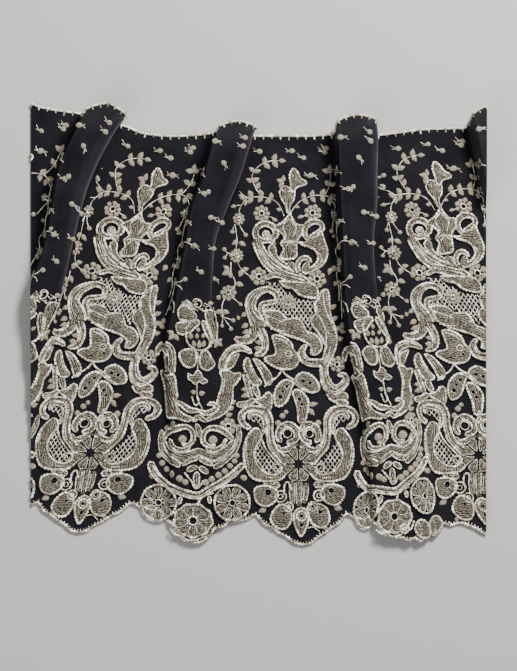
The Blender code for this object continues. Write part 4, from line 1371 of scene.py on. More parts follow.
crest = {
    "pieces": (
        {"line": ((276, 244, 4), (270, 241, 4), (263, 241, 5), (257, 238, 6), (255.5, 231, 6),
            (260, 225, 6), (267, 224, 6), (274, 228, 6), (275.5, 235, 6), (270, 239.5, 5)),
            "ends": "or", "cord": 0.9},
        {"line": ((256, 240, 9), (260, 250, 10), (267, 261, 12), (281, 272, 13), (297, 277, 9),
            (309, 282, 4)), "ends": "op"},
        {"edge": ((268, 248), (272, 244), (276, 248), (277, 255), (283, 261), (293, 268), (284, 267),
            (275, 260), (270, 254)), "cord": 0.8},
        {"line": ((288, 262, 4), (292, 266, 7), (298, 272, 6)), "ends": "oo", "cord": 0.5},
        {"line": ((308, 240, 4), (304.5, 234, 5), (305.5, 227, 6), (312, 222, 6), (320, 223, 5),
            (322, 229, 5), (316, 234, 5), (309, 238, 4)), "cord": 0.9},
        {"edge": ((298, 242), (305, 242), (309, 238), (316, 236), (319, 231), (322, 232), (325, 241),
            (328, 251), (326, 261), (320, 268), (310, 273), (303, 274), (304, 270), (312, 266), (317, 260),
            (316, 253), (311, 248), (303, 246))},
        {"line": ((300, 274, 5), (297, 267, 5), (300, 260, 5), (306, 258, 5), (311, 262, 4)),
            "ends": "or", "cord": 0.9},
        {"edge": ((302, 268), (306, 262), (310, 265), (308, 270), (303, 272)), "cord": 0.4},
        {"line": ((266, 278, 5), (276, 275, 5), (290, 279, 6), (306, 283, 5)), "ends": "ro", "cord": 0.8},
        {"edge": ((279, 281), (289, 281), (300, 282), (311, 283), (318, 289), (317, 298), (308, 298),
            (299, 295), (292, 289), (284, 287)), "grain": 12},
        {"edge": ((290, 213), (283, 221), (275, 226), (273, 229), (279, 232), (284, 238), (280, 243),
            (283, 249), (280, 256), (284, 260), (296, 258), (297, 248), (298, 240), (303, 233), (303, 225),
            (297, 224), (292, 217)), "grain": 80},
        {"edge": ((279, 192), (283, 186), (289, 187), (295, 192), (294, 200), (290, 207), (291, 214),
            (287, 213), (285, 206), (281, 199)), "grain": 90, "cord": 0.75},
        {"edge": ((290, 185), (289, 175), (293, 168), (298, 172), (301, 178), (306, 181), (306, 185),
            (297, 188), (294, 193), (290, 190)), "grain": 60, "cord": 0.85},
    ),
    "lines": (
        (0.7, ((264, 257), (272, 267), (286, 272), (299, 276)), ((289, 219), (283, 226), (286, 236)),
         ((291, 220), (296, 228), (293, 237)), ((283, 243), (290, 241), (298, 243)),
         ((286, 246), (290, 242), (295, 246))),
        (0.55, ((257, 244), (263, 255), (271, 263), (281, 268)), ((285, 198), (288, 193), (292, 198)),
         ((286, 203), (288, 212)), ((290, 222), (290, 238)), ((293, 175), (296, 180), (302, 183)),
         ((282, 190), (287, 192), (292, 190)), ((305, 246), (316, 251), (322, 260), (314, 269))),
        (0.4, ((286, 288), (297, 290), (312, 296)), ((284, 251), (290, 249), (295, 251)),
         ((283, 256), (290, 254), (295, 256)), ((312, 243), (320, 252), (322, 262))),
    ),
    "rings": ((266, 234.5, 3.4, 0.7), (266, 234.5, 1.3, 0.7)),
}

body = {
    "pieces": (
        {"edge": ((314, 304), (318, 298), (321, 291), (326, 289), (329, 292), (330, 303), (331, 314),
            (334, 323), (337, 334), (337, 345), (334, 352), (327, 352), (325, 344), (325, 335), (320, 325),
            (316, 315))},
        {"edge": ((310.5, 319), (315, 314), (320, 317), (325, 326), (327, 337), (325, 346), (321, 338),
            (316, 331), (312, 326)), "cord": 0.9, "grain": 60},
        {"line": ((331, 346, 11), (328, 356, 10), (324, 367, 8), (324.5, 377, 9), (328, 386, 11),
            (335, 390, 10), (342, 386, 8), (346, 380, 7), (344, 375, 5), (338, 375, 4)), "ends": "or"},
        {"line": ((327, 391, 6), (334, 398, 8), (342, 396, 9), (347, 399, 7)), "ends": "or", "cord": 0.9},
        {"line": ((336, 401, 5), (342, 403, 7), (348, 403, 5)), "cord": 0.9},
        {"line": ((277.5, 300, 5), (275, 293, 6), (266, 289.5, 6), (256, 294, 9), (251, 301, 11),
            (250.5, 309, 10), (254, 316, 13), (258.5, 323, 16), (262, 329, 9))},
        {"line": ((277.5, 301, 4), (269, 303, 5), (262, 304.5, 5), (261, 311, 5), (265, 319, 5),
            (270, 326, 4)), "cord": 0.85},
        {"line": ((253, 326, 8), (253.5, 334, 9), (249, 339.5, 8), (242, 340.5, 7), (235, 339, 5)),
            "ends": "or"},
        {"line": ((259, 328, 8), (263.5, 337, 8), (265, 346, 7), (262, 353, 6), (255, 355, 4)),
            "ends": "or"},
        {"edge": ((264, 311), (275, 310), (282, 313), (287, 318), (294, 318), (300, 319), (304, 325),
            (307, 331), (315, 334), (321, 341), (322, 349), (317, 355), (310, 354), (311, 348), (304, 342),
            (296, 339), (282, 334), (271, 328), (266, 321)), "grain": 20},
        {"line": ((306, 345, 4), (301.5, 351, 6), (302, 358, 6), (307, 362, 7), (314, 363, 8),
            (323, 363, 8)), "ends": "ro"},
        {"edge": ((272, 336), (280, 335), (291, 342), (294, 350), (298, 354), (299, 361), (295, 368),
            (287, 370), (278, 369), (270, 365), (264, 360), (267, 356), (275, 354), (274, 346)),
            "grain": 10},
    ),
    "rings": ((288.4, 354, 3.1, 0.85), (313, 350, 2.6, 0.6)),
    "holes": ((280, 349, 1.1), (291, 360, 1.6), (279, 363, 1.3), (285, 359, 1.0), (328, 300, 1.1)),
    "lines": (
        (0.75, ((304.5, 352), (306, 356), (311, 359.5), (322, 359.5)),
         ((254.5, 306), (261, 318), (265, 326)), ((236, 337), (241, 337.5), (247, 335)),
         ((323, 292), (324, 303), (328, 316), (333, 325)),
         ((276, 338), (284, 341), (289, 346)), ((264, 314), (268, 316), (284, 323))),
        (0.55, ((271, 329), (284, 331), (298, 329), (304, 326)), ((266, 316), (276, 321), (290, 319)),
         ((308, 334), (316, 341), (318, 349)), ((247, 300), (247, 310), (251, 320)),
         ((327, 330), (331, 340), (329, 352), (325, 364)), ((322, 369), (322, 380), (328, 391), (336, 395)),
         ((264.5, 306), (263, 311), (267, 318)), ((329, 293), (329.5, 310), (334, 330))),
        (0.42, ((258, 296), (255, 302), (255, 308)), ((254, 318), (258, 326), (262, 336), (262, 346)),
         ((331, 379), (332, 386), (338, 390)), ((316, 306), (320, 316), (326, 328))),
    ),
    "trellis": (
        ((264, 281), (280, 283), (283, 290), (291, 293), (299, 299), (315, 300), (316, 306), (313, 312),
         (314, 320), (311, 332), (305, 326), (300, 319), (291, 318), (283, 313), (264, 311), (264, 303),
         (278, 301), (278, 293), (268, 288)),
    ),
    "flowers": ((288, 303, 7.6, 9, 10), (337, 364.5, 8.2, 7, 25)),
    "leaf": (
        (247, 313, 150, 7, 5), (248, 324, 150, 7, 5), (239, 320, 250, 5, 4), (250, 331, 165, 8, 5),
        (262, 343, 190, 7, 5), (261, 350, 200, 7, 6), (330, 309, -35, 8, 5), (332, 320, -30, 8, 5),
        (335, 330, -25, 8, 5), (337, 340, -20, 7, 5),
    ),
}

lobes = {
    "pieces": (
        {"edge": ((245, 359), (249, 358), (252, 366), (257, 376), (262, 382), (259, 386), (252, 385),
            (246, 375), (243, 366)), "grain": 65},
        {"edge": ((253, 359), (259, 360), (266, 367), (272, 376), (272, 383), (267, 386), (264, 381),
            (260, 372)), "grain": 55, "cord": 0.9},
        {"line": ((244, 372, 5), (248, 387, 5), (251, 399, 5)), "cord": 0.8, "ends": "oo"},
        {"line": ((254, 385, 5), (256, 391, 6), (259, 397, 4)), "cord": 0.7},
        {"edge": ((253, 398), (246, 401), (238, 402), (236, 405), (240, 408), (249, 406), (255, 402)),
            "cord": 0.9},
        {"edge": ((254, 400), (262, 397), (267, 392), (272, 395), (272, 406), (269, 411), (261, 406)),
            "grain": 20},
        {"edge": ((296, 376), (304, 372), (313, 376), (319, 384), (319, 391), (311, 393), (303, 389),
            (296, 383)), "grain": 20},
        {"edge": ((294, 382), (287, 379), (279, 383), (274, 392), (274, 402), (277, 407), (284, 405),
            (289, 398), (291, 391)), "grain": 100},
        {"edge": ((292, 392), (297, 389), (304, 393), (309, 402), (308, 412), (305, 422), (298, 422),
            (297, 410), (294, 400)), "grain": 75},
    ),
    "holes": (
        (303, 381, 2.1), (310, 383, 2.1), (287, 386.5, 1.9), (283, 391, 1.6), (280, 397, 2.4),
        (299, 399, 2.0), (302, 404.5, 1.8),
    ),
    "lines": (
        (0.85, ((265, 386), (271, 381), (277, 377), (282, 370)),
         ((282, 370), (286, 375), (294, 380), (302, 386)),
         ((286, 380), (294, 383), (303, 390), (312, 393)), ((303, 419), (304, 427), (301, 431))),
        (0.5, ((249, 363), (253, 373), (258, 382)), ((257, 362), (263, 370), (268, 380)),
         ((264, 396), (268, 400), (269, 407)), ((240, 405), (247, 404)), ((249, 388), (252, 397))),
    ),
    "leaf": (
        (248, 389, 175, 7, 5), (249, 394, 160, 8, 5), (309, 405, -10, 9, 5), (309, 409, 50, 8, 5),
    ),
    "beads": ((286, 412, 2.4), (282, 416, 2.8), (278, 423, 3), (318, 423, 3)),
}


baseAxis = {"pieces": 298.3, "lines": 298.5}  # squares across


def turnedOver(line, axis):
    return tuple((2 * axis - x, *rest) for x, *rest in line)


def turnedPiece(piece, axis):
    turned = {key: turnedOver(piece[key], axis) for key in ("line", "edge") if key in piece}
    return {**piece, **turned}


def bothSides(*lines):
    # each line, and then the same line turned over
    return sum(((line, turnedOver(line, baseAxis["lines"])) for line in lines), ())


baseHalf = (
    {"edge": ((254, 428), (260, 430), (262, 438), (257, 447), (255, 456), (258, 465), (266, 472),
        (275, 474), (283, 470), (287, 473), (281, 480), (268, 482), (255, 480), (248, 474), (244, 464),
        (242.5, 452), (244, 443), (247, 436)), "grain": 90},
    {"line": ((250, 428, 5), (243, 424, 6), (240.5, 416, 6), (247, 409.5, 6), (256, 408.5, 6),
        (265, 411.5, 7), (269.5, 420, 7), (269.5, 432, 7), (272, 446, 8), (280, 456, 8), (285, 464, 6))},
    {"line": ((249, 419, 3), (250, 414.5, 4), (256, 413, 4), (263, 417, 4), (265, 426, 4), (263, 434, 3)),
        "cord": 0.7},
    {"line": ((288, 424, 6), (281, 428, 7), (278, 436, 6), (281, 442, 5)), "cord": 0.9},
    {"line": ((277, 445, 4), (280, 450, 5), (288, 449, 6), (297, 443, 6)), "ends": "ro", "cord": 0.9},
)
baseOther = tuple(turnedPiece(piece, baseAxis["pieces"]) for piece in baseHalf)
base = {
    "pieces": baseHalf + baseOther + (
        {"line": ((284, 424, 6), (292, 426, 7), (297, 433, 7), (295, 440, 6), (287, 443, 5)), "cord": 0.9},
        {"line": ((313, 424, 6), (305, 426, 7), (301, 433, 6), (304, 440, 5), (311, 443, 5)), "cord": 0.9},
        {"line": ((292, 481, 5), (292, 492, 6), (293, 504, 5)), "ends": "oo", "cord": 0.5},
        {"line": ((299, 480, 7), (299, 492, 6), (299, 506, 5)), "ends": "oo", "cord": 0.5},
        {"line": ((306, 483, 5), (306, 493, 5), (304, 503, 4)), "ends": "oo", "cord": 0.5},
        {"line": ((264, 483, 4), (272, 484, 7), (279, 486, 6)), "cord": 0.8},
        {"line": ((333, 483, 4), (324, 484, 7), (314, 485, 6)), "cord": 0.8},
        {"edge": ((254, 489), (264, 485), (275, 488), (278, 494), (275, 502), (266, 507), (256, 502)),
            "grain": 20},
        {"edge": ((344, 488), (334, 484), (324, 486), (320, 494), (325, 502), (336, 506), (344, 498)),
            "grain": -20},
        {"edge": ((272, 512), (280, 504), (290, 508), (292, 519), (286, 529), (276, 528), (270, 520))},
        {"edge": ((327, 508), (317, 503), (307, 506), (308, 517), (314, 526), (324, 528), (330, 520))},
        {"edge": ((301, 507), (294, 512), (293, 520), (296, 530), (301, 537), (306, 530), (309, 520),
            (308, 512)), "grain": 90},
    ),
    "holes": (
        (287.4, 433.5, 4), (309.4, 433.5, 3.6), (268, 492.5, 3.2), (331, 490.5, 3), (284, 513, 1.6),
        (320, 512, 2.4), (301.5, 525, 2.2), (280.5, 496.5, 2), (319, 495.5, 2), (288.5, 507, 1.8),
        (312.5, 506.5, 1.8), (301.4, 516, 1.9),
    ),
    "rings": (
        (280.5, 496.5, 5.6, 0.9), (319, 495.5, 5.4, 0.9), (288.5, 507, 4.6, 0.85),
        (312.5, 506.5, 4.6, 0.85), (301.4, 516, 4.8, 0.85), (276.5, 485, 2.9, 0.7),
        (321, 484.5, 2.9, 0.7), (277.5, 468, 4, 0.8), (320, 468, 4, 0.8),
    ),
    "lines": (
        (0.8, ((284, 494), (284.5, 485), (288, 482), (291, 489)),
         ((262, 440), (266, 449), (274, 459), (281, 466))),
        (0.55, *bothSides(((246, 440), (246, 455), (250, 468), (260, 476), (274, 478))),
         ((308, 528), (313, 527), (319, 531)), *bothSides(((244, 421), (246, 413), (256, 411))),
         ((273, 436), (276, 446), (283, 454)), ((323, 436), (320, 446), (314, 454))),
        (0.45, *bothSides(((252, 448), (250, 458), (256, 469)))),
    ),
    "trellis": bothSides(
        ((246, 418), (251, 414), (260, 414), (266, 420), (266, 436), (262, 436), (258, 424), (251, 421)),
        ((261, 440), (266, 448), (274, 459), (283, 467), (284, 472), (274, 475), (265, 471), (257, 464),
         (254, 456), (258, 446)),
    ),
    "leaf": ((266, 509, 160, 8, 6), (334, 507, 15, 8, 6), (273, 525, 110, 6, 4), (324, 525, 70, 6, 4)),
}
baseFlower = {
    "middle": (298.6, 464),
    "petals": 8,
    "start": 22.5,
    "reach": ((4.6, 2.4), (9.5, 5.6), (14, 9.4), (17.5, 8.6)),  # distance from the middle, and width
    "cord": 0.3,
}
for petal in range(baseFlower["petals"]):
    # broad petals round the middle eyelet, in pairs with dark slits between
    x, y = baseFlower["middle"]
    way = wayAt(math.radians(baseFlower["start"] + 360 / baseFlower["petals"] * petal))
    line = tuple((x + out * way[0], y + out * way[1], wide) for out, wide in baseFlower["reach"])
    base["pieces"] += ({"line": line, "cord": baseFlower["cord"]},)

rose = {
    "pieces": (
        {"edge": ((178, 310), (184, 305), (190, 308), (197, 316), (193, 321), (185, 321), (179, 319)),
            "cord": 0.85},
        {"edge": ((175.5, 325), (180, 322), (190, 322), (189, 328), (185, 334.5), (178, 333.5)),
            "cord": 0.85},
        {"edge": ((206, 311), (212, 310), (216, 317), (217, 330), (216, 343), (213, 339), (209, 328),
            (205, 318)), "cord": 0.7, "grain": 80},
        {"line": ((187, 333, 5), (192, 326, 8), (199, 321, 6)), "cord": 0.8},
        {"line": ((203, 321, 5), (207, 331, 6), (212, 343, 4)), "cord": 0.85},
        {"edge": ((179, 353), (185, 349), (194, 349), (197, 354), (196, 364), (191, 368), (184, 366),
            (180, 360)), "grain": 60},
        {"edge": ((201, 352), (207, 350), (212, 358), (215, 365), (208, 371), (201, 368), (199, 361)),
            "grain": 70},
        {"edge": ((188, 373), (193, 375), (197, 370), (201, 372), (203, 377), (208, 381), (203, 384),
            (199, 382), (195, 385), (191, 381), (188, 379)), "cord": 0.7},
    ),
    "stems": (
        ((198, 350), (198, 361), (197.5, 372)),
        ((180, 306), (184, 304), (190, 308), (195, 310)), ((182, 302), (188, 305), (193, 308), (198, 311)),
        ((184, 301), (190, 304), (194, 309)), ((186, 299.5), (191, 303), (196, 307), (200, 309)),
        ((196, 306), (199, 309), (203, 309)), ((203, 305), (206, 308), (205, 311), (201, 310)),
        ((204, 303), (209, 306), (211, 309), (207, 312)), ((206, 307), (211, 305), (213, 309), (210, 314)),
        ((203, 312), (207, 310), (211, 313)), ((208, 316), (211, 313), (214, 315), (211, 318), (208, 316)),
        ((193, 302), (195, 299), (199, 299.5), (202, 303), (200, 307), (196, 308), (194, 305)),
    ),
    "lines": (
        (0.9, ((186, 333), (187, 341), (191, 346.5), (198, 350), (206, 349), (211, 343), (210, 336))),
        (0.7, ((197, 383), (197, 393), (198, 400), (202, 408)), ((183, 305), (190, 306), (197, 304)),
         ((192, 397), (195, 405), (199, 402), (197, 396)), ((206, 324), (210, 334), (213, 343))),
        (0.5, ((181, 312), (187, 314), (194, 317)), ((180, 327), (185, 328), (188, 325))),
    ),
    "rings": ((198, 304, 3.4, 0.6),),
    "leaf": (
        (194.5, 347, -100, 7, 4.5), (199, 348.5, -88, 8, 4.5), (203, 347, -76, 7, 4.5),
        (191, 339, -95, 6, 5),
        (197, 339, -90, 6, 4), (202, 338, -60, 6, 4), (198, 332, -85, 5, 4),
        (196, 393, 200, 6, 5), (199, 394, -15, 6, 5), (208, 304, -10, 6, 5), (209, 342, 60, 6, 4),
    ),
    "sprigs": ((217, 342, 40), (174, 334, 130)),
}

cartouche = {
    "pieces": (
        {"edge": ((160.5, 371), (164, 370), (168, 375), (172, 373), (175.5, 377), (177, 388), (178, 396),
            (176, 403), (181, 411), (187, 415), (193, 418), (188, 422), (177, 419), (168, 417), (166, 408),
            (165, 396), (164, 385), (162, 378)), "grain": 75},
        {"line": ((157, 355, 4), (158.5, 349, 6), (164, 345, 8), (169.5, 350, 10), (171, 361, 10),
            (171, 374, 8)), "cord": 0.9, "ends": "ro"},
        {"edge": ((219, 371), (228, 370), (233, 373), (240, 372.5), (241, 377), (237, 383), (233, 388),
            (233, 396), (232, 403), (229, 410), (222, 416), (213, 420), (204, 422), (209, 416), (215, 411),
            (216, 403), (218, 395), (220.5, 387), (221, 378)), "grain": 100},
        {"line": ((251, 353, 4), (245, 349, 6), (237, 348, 8), (229, 352, 8), (223, 360, 8),
            (221, 370, 7)), "cord": 0.95},
        {"edge": ((239, 354), (236, 362), (233, 367), (226, 370), (226, 363), (231, 357)),
            "cord": 0.7, "grain": 110},
        {"line": ((176, 401, 3), (182, 404.5, 5), (190, 410, 6), (199, 410.5, 4)), "cord": 0.9},
        {"line": ((199, 410.5, 4), (205, 413, 5), (212, 411.5, 6), (217, 407, 5), (212, 403.5, 4),
            (208, 405, 3)), "cord": 0.9},
        {"line": ((193, 421, 4), (199, 417, 5), (206, 421.5, 4)), "cord": 0.8},
        {"line": ((196.5, 424, 4), (199, 431, 6), (199.5, 437, 3)), "cord": 0.6},
        {"line": ((162, 430, 4), (160.5, 441, 5), (163, 452, 6), (171, 460, 6), (180, 466, 5)),
            "cord": 0.45},
        {"line": ((238, 425, 4), (238.5, 437, 6), (234, 450, 6), (225, 460, 6), (214, 468, 5)),
            "cord": 0.45},
        {"edge": ((163, 437), (170, 447), (178, 452), (188, 451), (199, 448), (211, 452), (221, 449),
            (232, 440), (235, 443), (231, 450), (224, 456), (214, 462), (205, 459), (199, 456), (193, 459),
            (183, 464), (172, 457), (164, 448)), "cord": 0.8, "grain": 10},
        {"line": ((171, 439, 3), (174, 447, 4), (183, 450, 5), (190, 447, 4)), "cord": 0.8},
        {"line": ((226, 439, 3), (221, 447, 4), (213, 450, 5), (206, 447, 4)), "cord": 0.8},
        {"line": ((163, 439, 4), (169, 432, 6), (178, 428, 6), (187, 427, 5), (192.5, 432, 5),
            (193, 440, 5), (188, 445, 4), (182, 444, 3)), "cord": 0.95},
        {"line": ((233, 440, 4), (226, 433, 6), (218, 428.5, 6), (209, 428.5, 5), (203.5, 434, 5),
            (203.5, 442, 5), (209, 446, 4), (215, 445, 3)), "cord": 0.95},
        {"line": ((183, 465, 3), (190, 460, 5), (198, 458, 4)), "cord": 0.7},
        {"line": ((199, 458, 4), (206, 462, 5), (213, 465, 3)), "cord": 0.7},
        {"line": ((187, 471, 4), (192, 468, 6), (197, 467, 4)), "cord": 0.6},
        {"line": ((199, 467, 4), (204, 470, 6), (208, 473, 4)), "cord": 0.6},
        {"line": ((197, 472, 5), (196.5, 479, 7), (197, 486, 4)), "cord": 0.6},
    ),
    "lines": (
        (0.85, ((185, 473), (189, 478), (192, 482), (195, 488), (199, 487), (203, 481)),
         ((160, 350), (165, 349), (168, 355)), ((248, 350), (240, 346), (231, 347), (223, 354))),
        (0.5, ((168, 375), (173, 388), (174, 400), (178, 411)), ((164, 384), (167, 398), (170, 411)),
         ((230, 375), (229, 388), (227, 402), (221, 412)), ((224, 378), (223, 392), (220, 406)),
         ((165, 357), (168, 366), (172, 375)),
         ((172, 454), (185, 460), (198, 455), (212, 460), (224, 455))),
    ),
    "leaf": (
        (165, 430, -45, 9, 6), (171, 426, -35, 10, 7), (247, 479, 200, 8, 6), (149, 477, -20, 8, 6),
        (229, 410, -40, 6, 5), (231, 404, -40, 6, 5), (226, 416, -20, 7, 5),
    ),
    "beads": (
        (182.5, 439, 4.2), (212.5, 440, 4.2), (159, 455.5, 2.9), (162, 463, 3), (167, 469, 3.2),
        (173.5, 474, 3.6), (179.5, 478.5, 3.6), (185.5, 482, 3.4), (236.5, 455.5, 2.9), (234.5, 461, 2.9),
        (230, 466, 3.1), (225, 471, 3.5), (218.5, 475, 3.4), (212, 479, 3.6), (205.5, 482.5, 3.4),
    ),
    "flowers": ((228, 426, 8.5, 7, 0),),
}


rosettes = {
    "petal": ((0.26, 0.2, False), (0.6, 0.85, True), (0.93, 1, True)),  # reach, width, gapped or not
    "petalCord": 0.35,
    "rim": 0.98,
    "rimPoints": 8,  # for each petal
    "rimCord": 1.0,
    "eyeletCord": 0.6,
}


def rosetteRows(x, y, radius, petals, start, hole, squash=1.0, gap=0.62, wave=0.012):
    # broad woven petals round an eyelet, inside a thick scalloped cord
    made = {"pieces": [], "rings": [(x, y, hole, rosettes["eyeletCord"])], "lines": []}
    for k in range(petals):
        turn = math.radians(start + 360 * k / petals)
        way = (math.cos(turn), math.sin(turn) * squash)
        reach = 2 * math.pi * radius / petals
        line = tuple(
            (x + way[0] * radius * out, y + way[1] * radius * out, reach * (gap * wide if gapped else wide))
            for out, wide, gapped in rosettes["petal"]
        )
        made["pieces"].append({"line": line, "cord": rosettes["petalCord"]})
    rim = []
    steps = petals * rosettes["rimPoints"]
    for k in range(steps + 1):
        turn = math.radians(start) + 2 * math.pi * k / steps
        swell = radius * (rosettes["rim"] + wave * math.cos(petals * (turn - math.radians(start))))
        rim.append((x + swell * math.cos(turn), y + swell * math.sin(turn) * squash))
    made["lines"].append((rosettes["rimCord"], rim))
    return made


def together(*charts):
    made = {}
    for rows in charts:
        for key, value in rows.items():
            made[key] = made.get(key, ()) + tuple(value)
    return made


hemSwag = together(rosetteRows(158.5, 502.5, 18, 8, 0, 3.2), {
    "pieces": (
        {"line": ((150, 462, 8), (154, 472, 8), (161, 480, 7), (171, 487, 7), (184, 493, 7),
            (198, 495.5, 7), (209, 489.5, 7), (222, 482, 7), (233, 474, 7), (243, 464, 6)), "cord": 1.0},
        {"line": ((181, 497, 4), (178.5, 504, 4)), "cord": 0.6},
        {"line": ((209, 496, 4), (210, 503, 4)), "cord": 0.6},
    ),
    "lines": ((0.9, ((198, 505), (200, 499), (206, 495), (213, 493)), ((153, 466), (160, 476), (171, 484),
                    (186, 490), (199, 492), (211, 485), (224, 478), (236, 469))),),
})
hemRosette = together(rosetteRows(193, 520.5, 19.5, 9, 10, 4.2, 0.86, 0.8, 0.035), {
    "lines": (
        (0.85, ((171, 529), (175, 534), (182, 536), (188, 540), (196, 540), (203, 537), (210, 535),
                (214, 528))),
    ),
})
sideRosette = rosetteRows(232, 502.7, 18, 8, 20, 3.2)

sprays = {
    "stems": (
        ((284, 216), (279, 205), (272, 199.5), (262, 197), (253, 197), (246, 197), (239, 191), (237, 186)),
        ((261, 196), (255, 187), (252, 177), (255, 170), (262, 164), (271, 161), (279, 160.6)),
        ((247, 198), (241, 206), (239, 212), (239, 222), (241, 228), (245, 234)),
        ((241, 205), (235, 206)), ((235, 224), (232, 231)),
        ((235, 224), (236, 232), (237, 241), (236, 249), (237, 256), (238, 263), (242, 270), (251, 277)),
        ((231, 262), (231, 272), (235, 281), (234, 288), (229, 293), (223, 302), (222, 311), (224, 318),
         (231, 328)),
        ((236, 255), (228, 253), (224, 250)), ((228, 253), (225, 257)), ((232, 297), (239, 303)),
        ((223, 316), (222, 325)), ((224, 317), (232, 320)),
        ((291, 212), (297, 204), (304, 199), (314, 195.7), (325, 195.7), (331, 198), (337, 200)),
        ((325, 195), (329, 187), (330.5, 178), (330, 172)),
        ((331, 199), (335, 206), (335, 214), (337, 224), (337, 234), (338, 242), (336, 251), (338, 262),
         (337, 276), (339, 290), (339, 301)),
        ((334, 219), (332, 230)), ((336, 219), (339, 225)), ((338, 245), (343, 241), (350, 242)),
        ((340, 285), (345, 281), (349, 277)), ((340, 285), (346, 285), (350, 288)),
        ((341, 284), (342, 300), (342, 319)), ((342, 300), (346, 304), (348, 312)),
        ((275, 219), (268, 216)), ((300, 218), (306, 215)), ((280, 181), (284, 184)),
        ((305, 174), (309, 176)),
    ),
    "pairs": (
        (271, 199.5, 210), (262, 197, 190), (252, 197, 180), (245, 199, 150), (252, 182, -90),
        (254, 172, -75), (264, 163.5, -20), (273, 161, -5), (303, 199.5, -20), (311, 197, -10),
        (321, 195.7, 0),
        (330, 198, 30), (329.5, 185, -80), (242, 270, 50), (340, 260, 90), (337, 267, 90), (341, 284, -50),
    ),
    "sprigs": ((330, 172, -90), (229, 271, 150), (222, 311, 90), (339, 246, 60), (283, 182, 200)),
    "leaf": (
        (279, 160.6, 5, 7, 5), (256, 189, -60, 7, 5), (240, 190, -100, 7, 5), (237, 187, 200, 5, 4),
        (236, 206, 170, 6, 4), (238, 241, 150, 7, 5), (239, 242, 30, 8, 5), (236, 283, 20, 8, 5),
        (249, 276, 20, 8, 5), (336, 234, 160, 7, 5), (331, 268, 110, 7, 5), (349, 242, 0, 7, 5),
        (344, 240, -60, 5, 4), (239, 303, 40, 5, 4), (217, 300, -60, 6, 5), (343, 310, 30, 6, 5),
        (272, 219, 20, 6, 4), (303, 216, 160, 6, 4), (288, 209, 200, 4, 3), (295, 206, 20, 5, 4),
        (281, 210, 190, 5, 4), (337, 281, 120, 7, 5), (342, 322, 80, 7, 5), (340, 330, 20, 7, 5),
    ),
    "beads": (
        (337, 200, 2), (232, 232, 2.1), (245.5, 235, 2.3), (224, 249.5, 2.2), (224.5, 258, 2.2),
        (331.5, 231, 2.3),
        (339.5, 225.5, 2.1), (222, 326, 2.2), (233, 320.5, 2.2), (231, 329, 2.2), (350, 277, 2.6),
    ),
    "flowers": (
        (261.6, 213.5, 8.3, 8, 0), (312.6, 213, 8.8, 8, 22), (238.8, 219, 6.3, 8, 10),
        (334.5, 214, 6, 8, 0),
        (236.7, 255.6, 7.3, 10, 0), (259, 276.5, 9, 7, 10), (228.4, 292.6, 8, 8, 0), (317, 279, 9.5, 7, 20),
    ),
    "buds": (
        (309.4, 176, 15), (338.7, 167, -45), (352.8, 187.4, -60), (244, 176, -20), (259, 151.5, 10),
        (291.5, 151, 0), (326.6, 148, 10),
    ),
}

roseSprays = {
    "buds": (
        (190, 152, 20), (216, 142, 190), (245, 138, 10), (243, 146, 0), (224, 164, 240), (200, 173, 200),
        (173, 175, 190), (204, 194, 20), (231, 194, 240), (211, 218, 190), (222, 223, 30), (194, 247, 190),
        (214, 249, 10), (201, 272, 30), (214, 279, 200), (170, 158, 20), (186, 222, 190), (182, 262, 10),
    ),
}

# Broad petals that show under the last hem rosette, where the hem is folded longer
lowerHem = {
    "pieces": (
        {"edge": ((216, 530), (222, 526), (230, 528), (235, 534), (234, 542), (227, 546), (219, 544),
            (214, 537)), "grain": 30},
        {"edge": ((236, 528), (244, 523), (253, 523), (257, 530), (252, 538), (244, 543), (237, 542),
            (234, 535)), "grain": -20},
    ),
    "lines": ((0.6, ((220, 530), (223, 537), (220, 543)), ((242, 526), (246, 533), (243, 541))),),
    "rings": ((203, 534, 4.5, 0.85), (203, 534, 1.8, 0.6)),
}

motifs = (
    ("crest", "scroll", crest), ("body", "scroll", body), ("lobes", "scroll", lobes),
    ("base", "scroll", base), ("rose", "rose", rose), ("cartouche", "rose", cartouche),
    ("hem_swag", "rose", hemSwag), ("hem_rosette", "rose", hemRosette),
    ("side_rosette", "rose", sideRosette), ("lower_hem", "rose", lowerHem),
    ("sprays", "scroll", sprays), ("rose_sprays", "rose", roseSprays),
)
laidOnly = {"lower_hem": (2,)}  # every other motif is laid on every pleat

for name, chart, rows in motifs:
    drawn = drawChart(chart, rows)
    for pleat in laidOnly.get(name, range(len(pleats))):
        start = pleat * cloth["repeat"] + chartSizes[chart][2]
        node = f"{name}_{pleat}"
        replaced = [node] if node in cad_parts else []
        made = [
            (layPads(f"{node}_clothwork", drawn, start), "motif"),
            (layCords(f"{node}_cords", drawn["cords"], start, "outline"), "cord"),
            (layCords(f"{node}_threads", drawn["fine"], start, "fine"), "cord"),
        ]
        made += [(item, "motif") for item in layStuds(f"{node}_leaves", drawn["studs"], start)]
        for item, slot in made:
            if item is not None:
                finishPiece(item, replaced)
    print(name, "laid")


# The net itself, one sheet from cut end to cut end
netSizes = {"across": 1.3, "rows": 160, "first": -44.0, "last": 540.0, "past": 6}  # mm past the cut ends


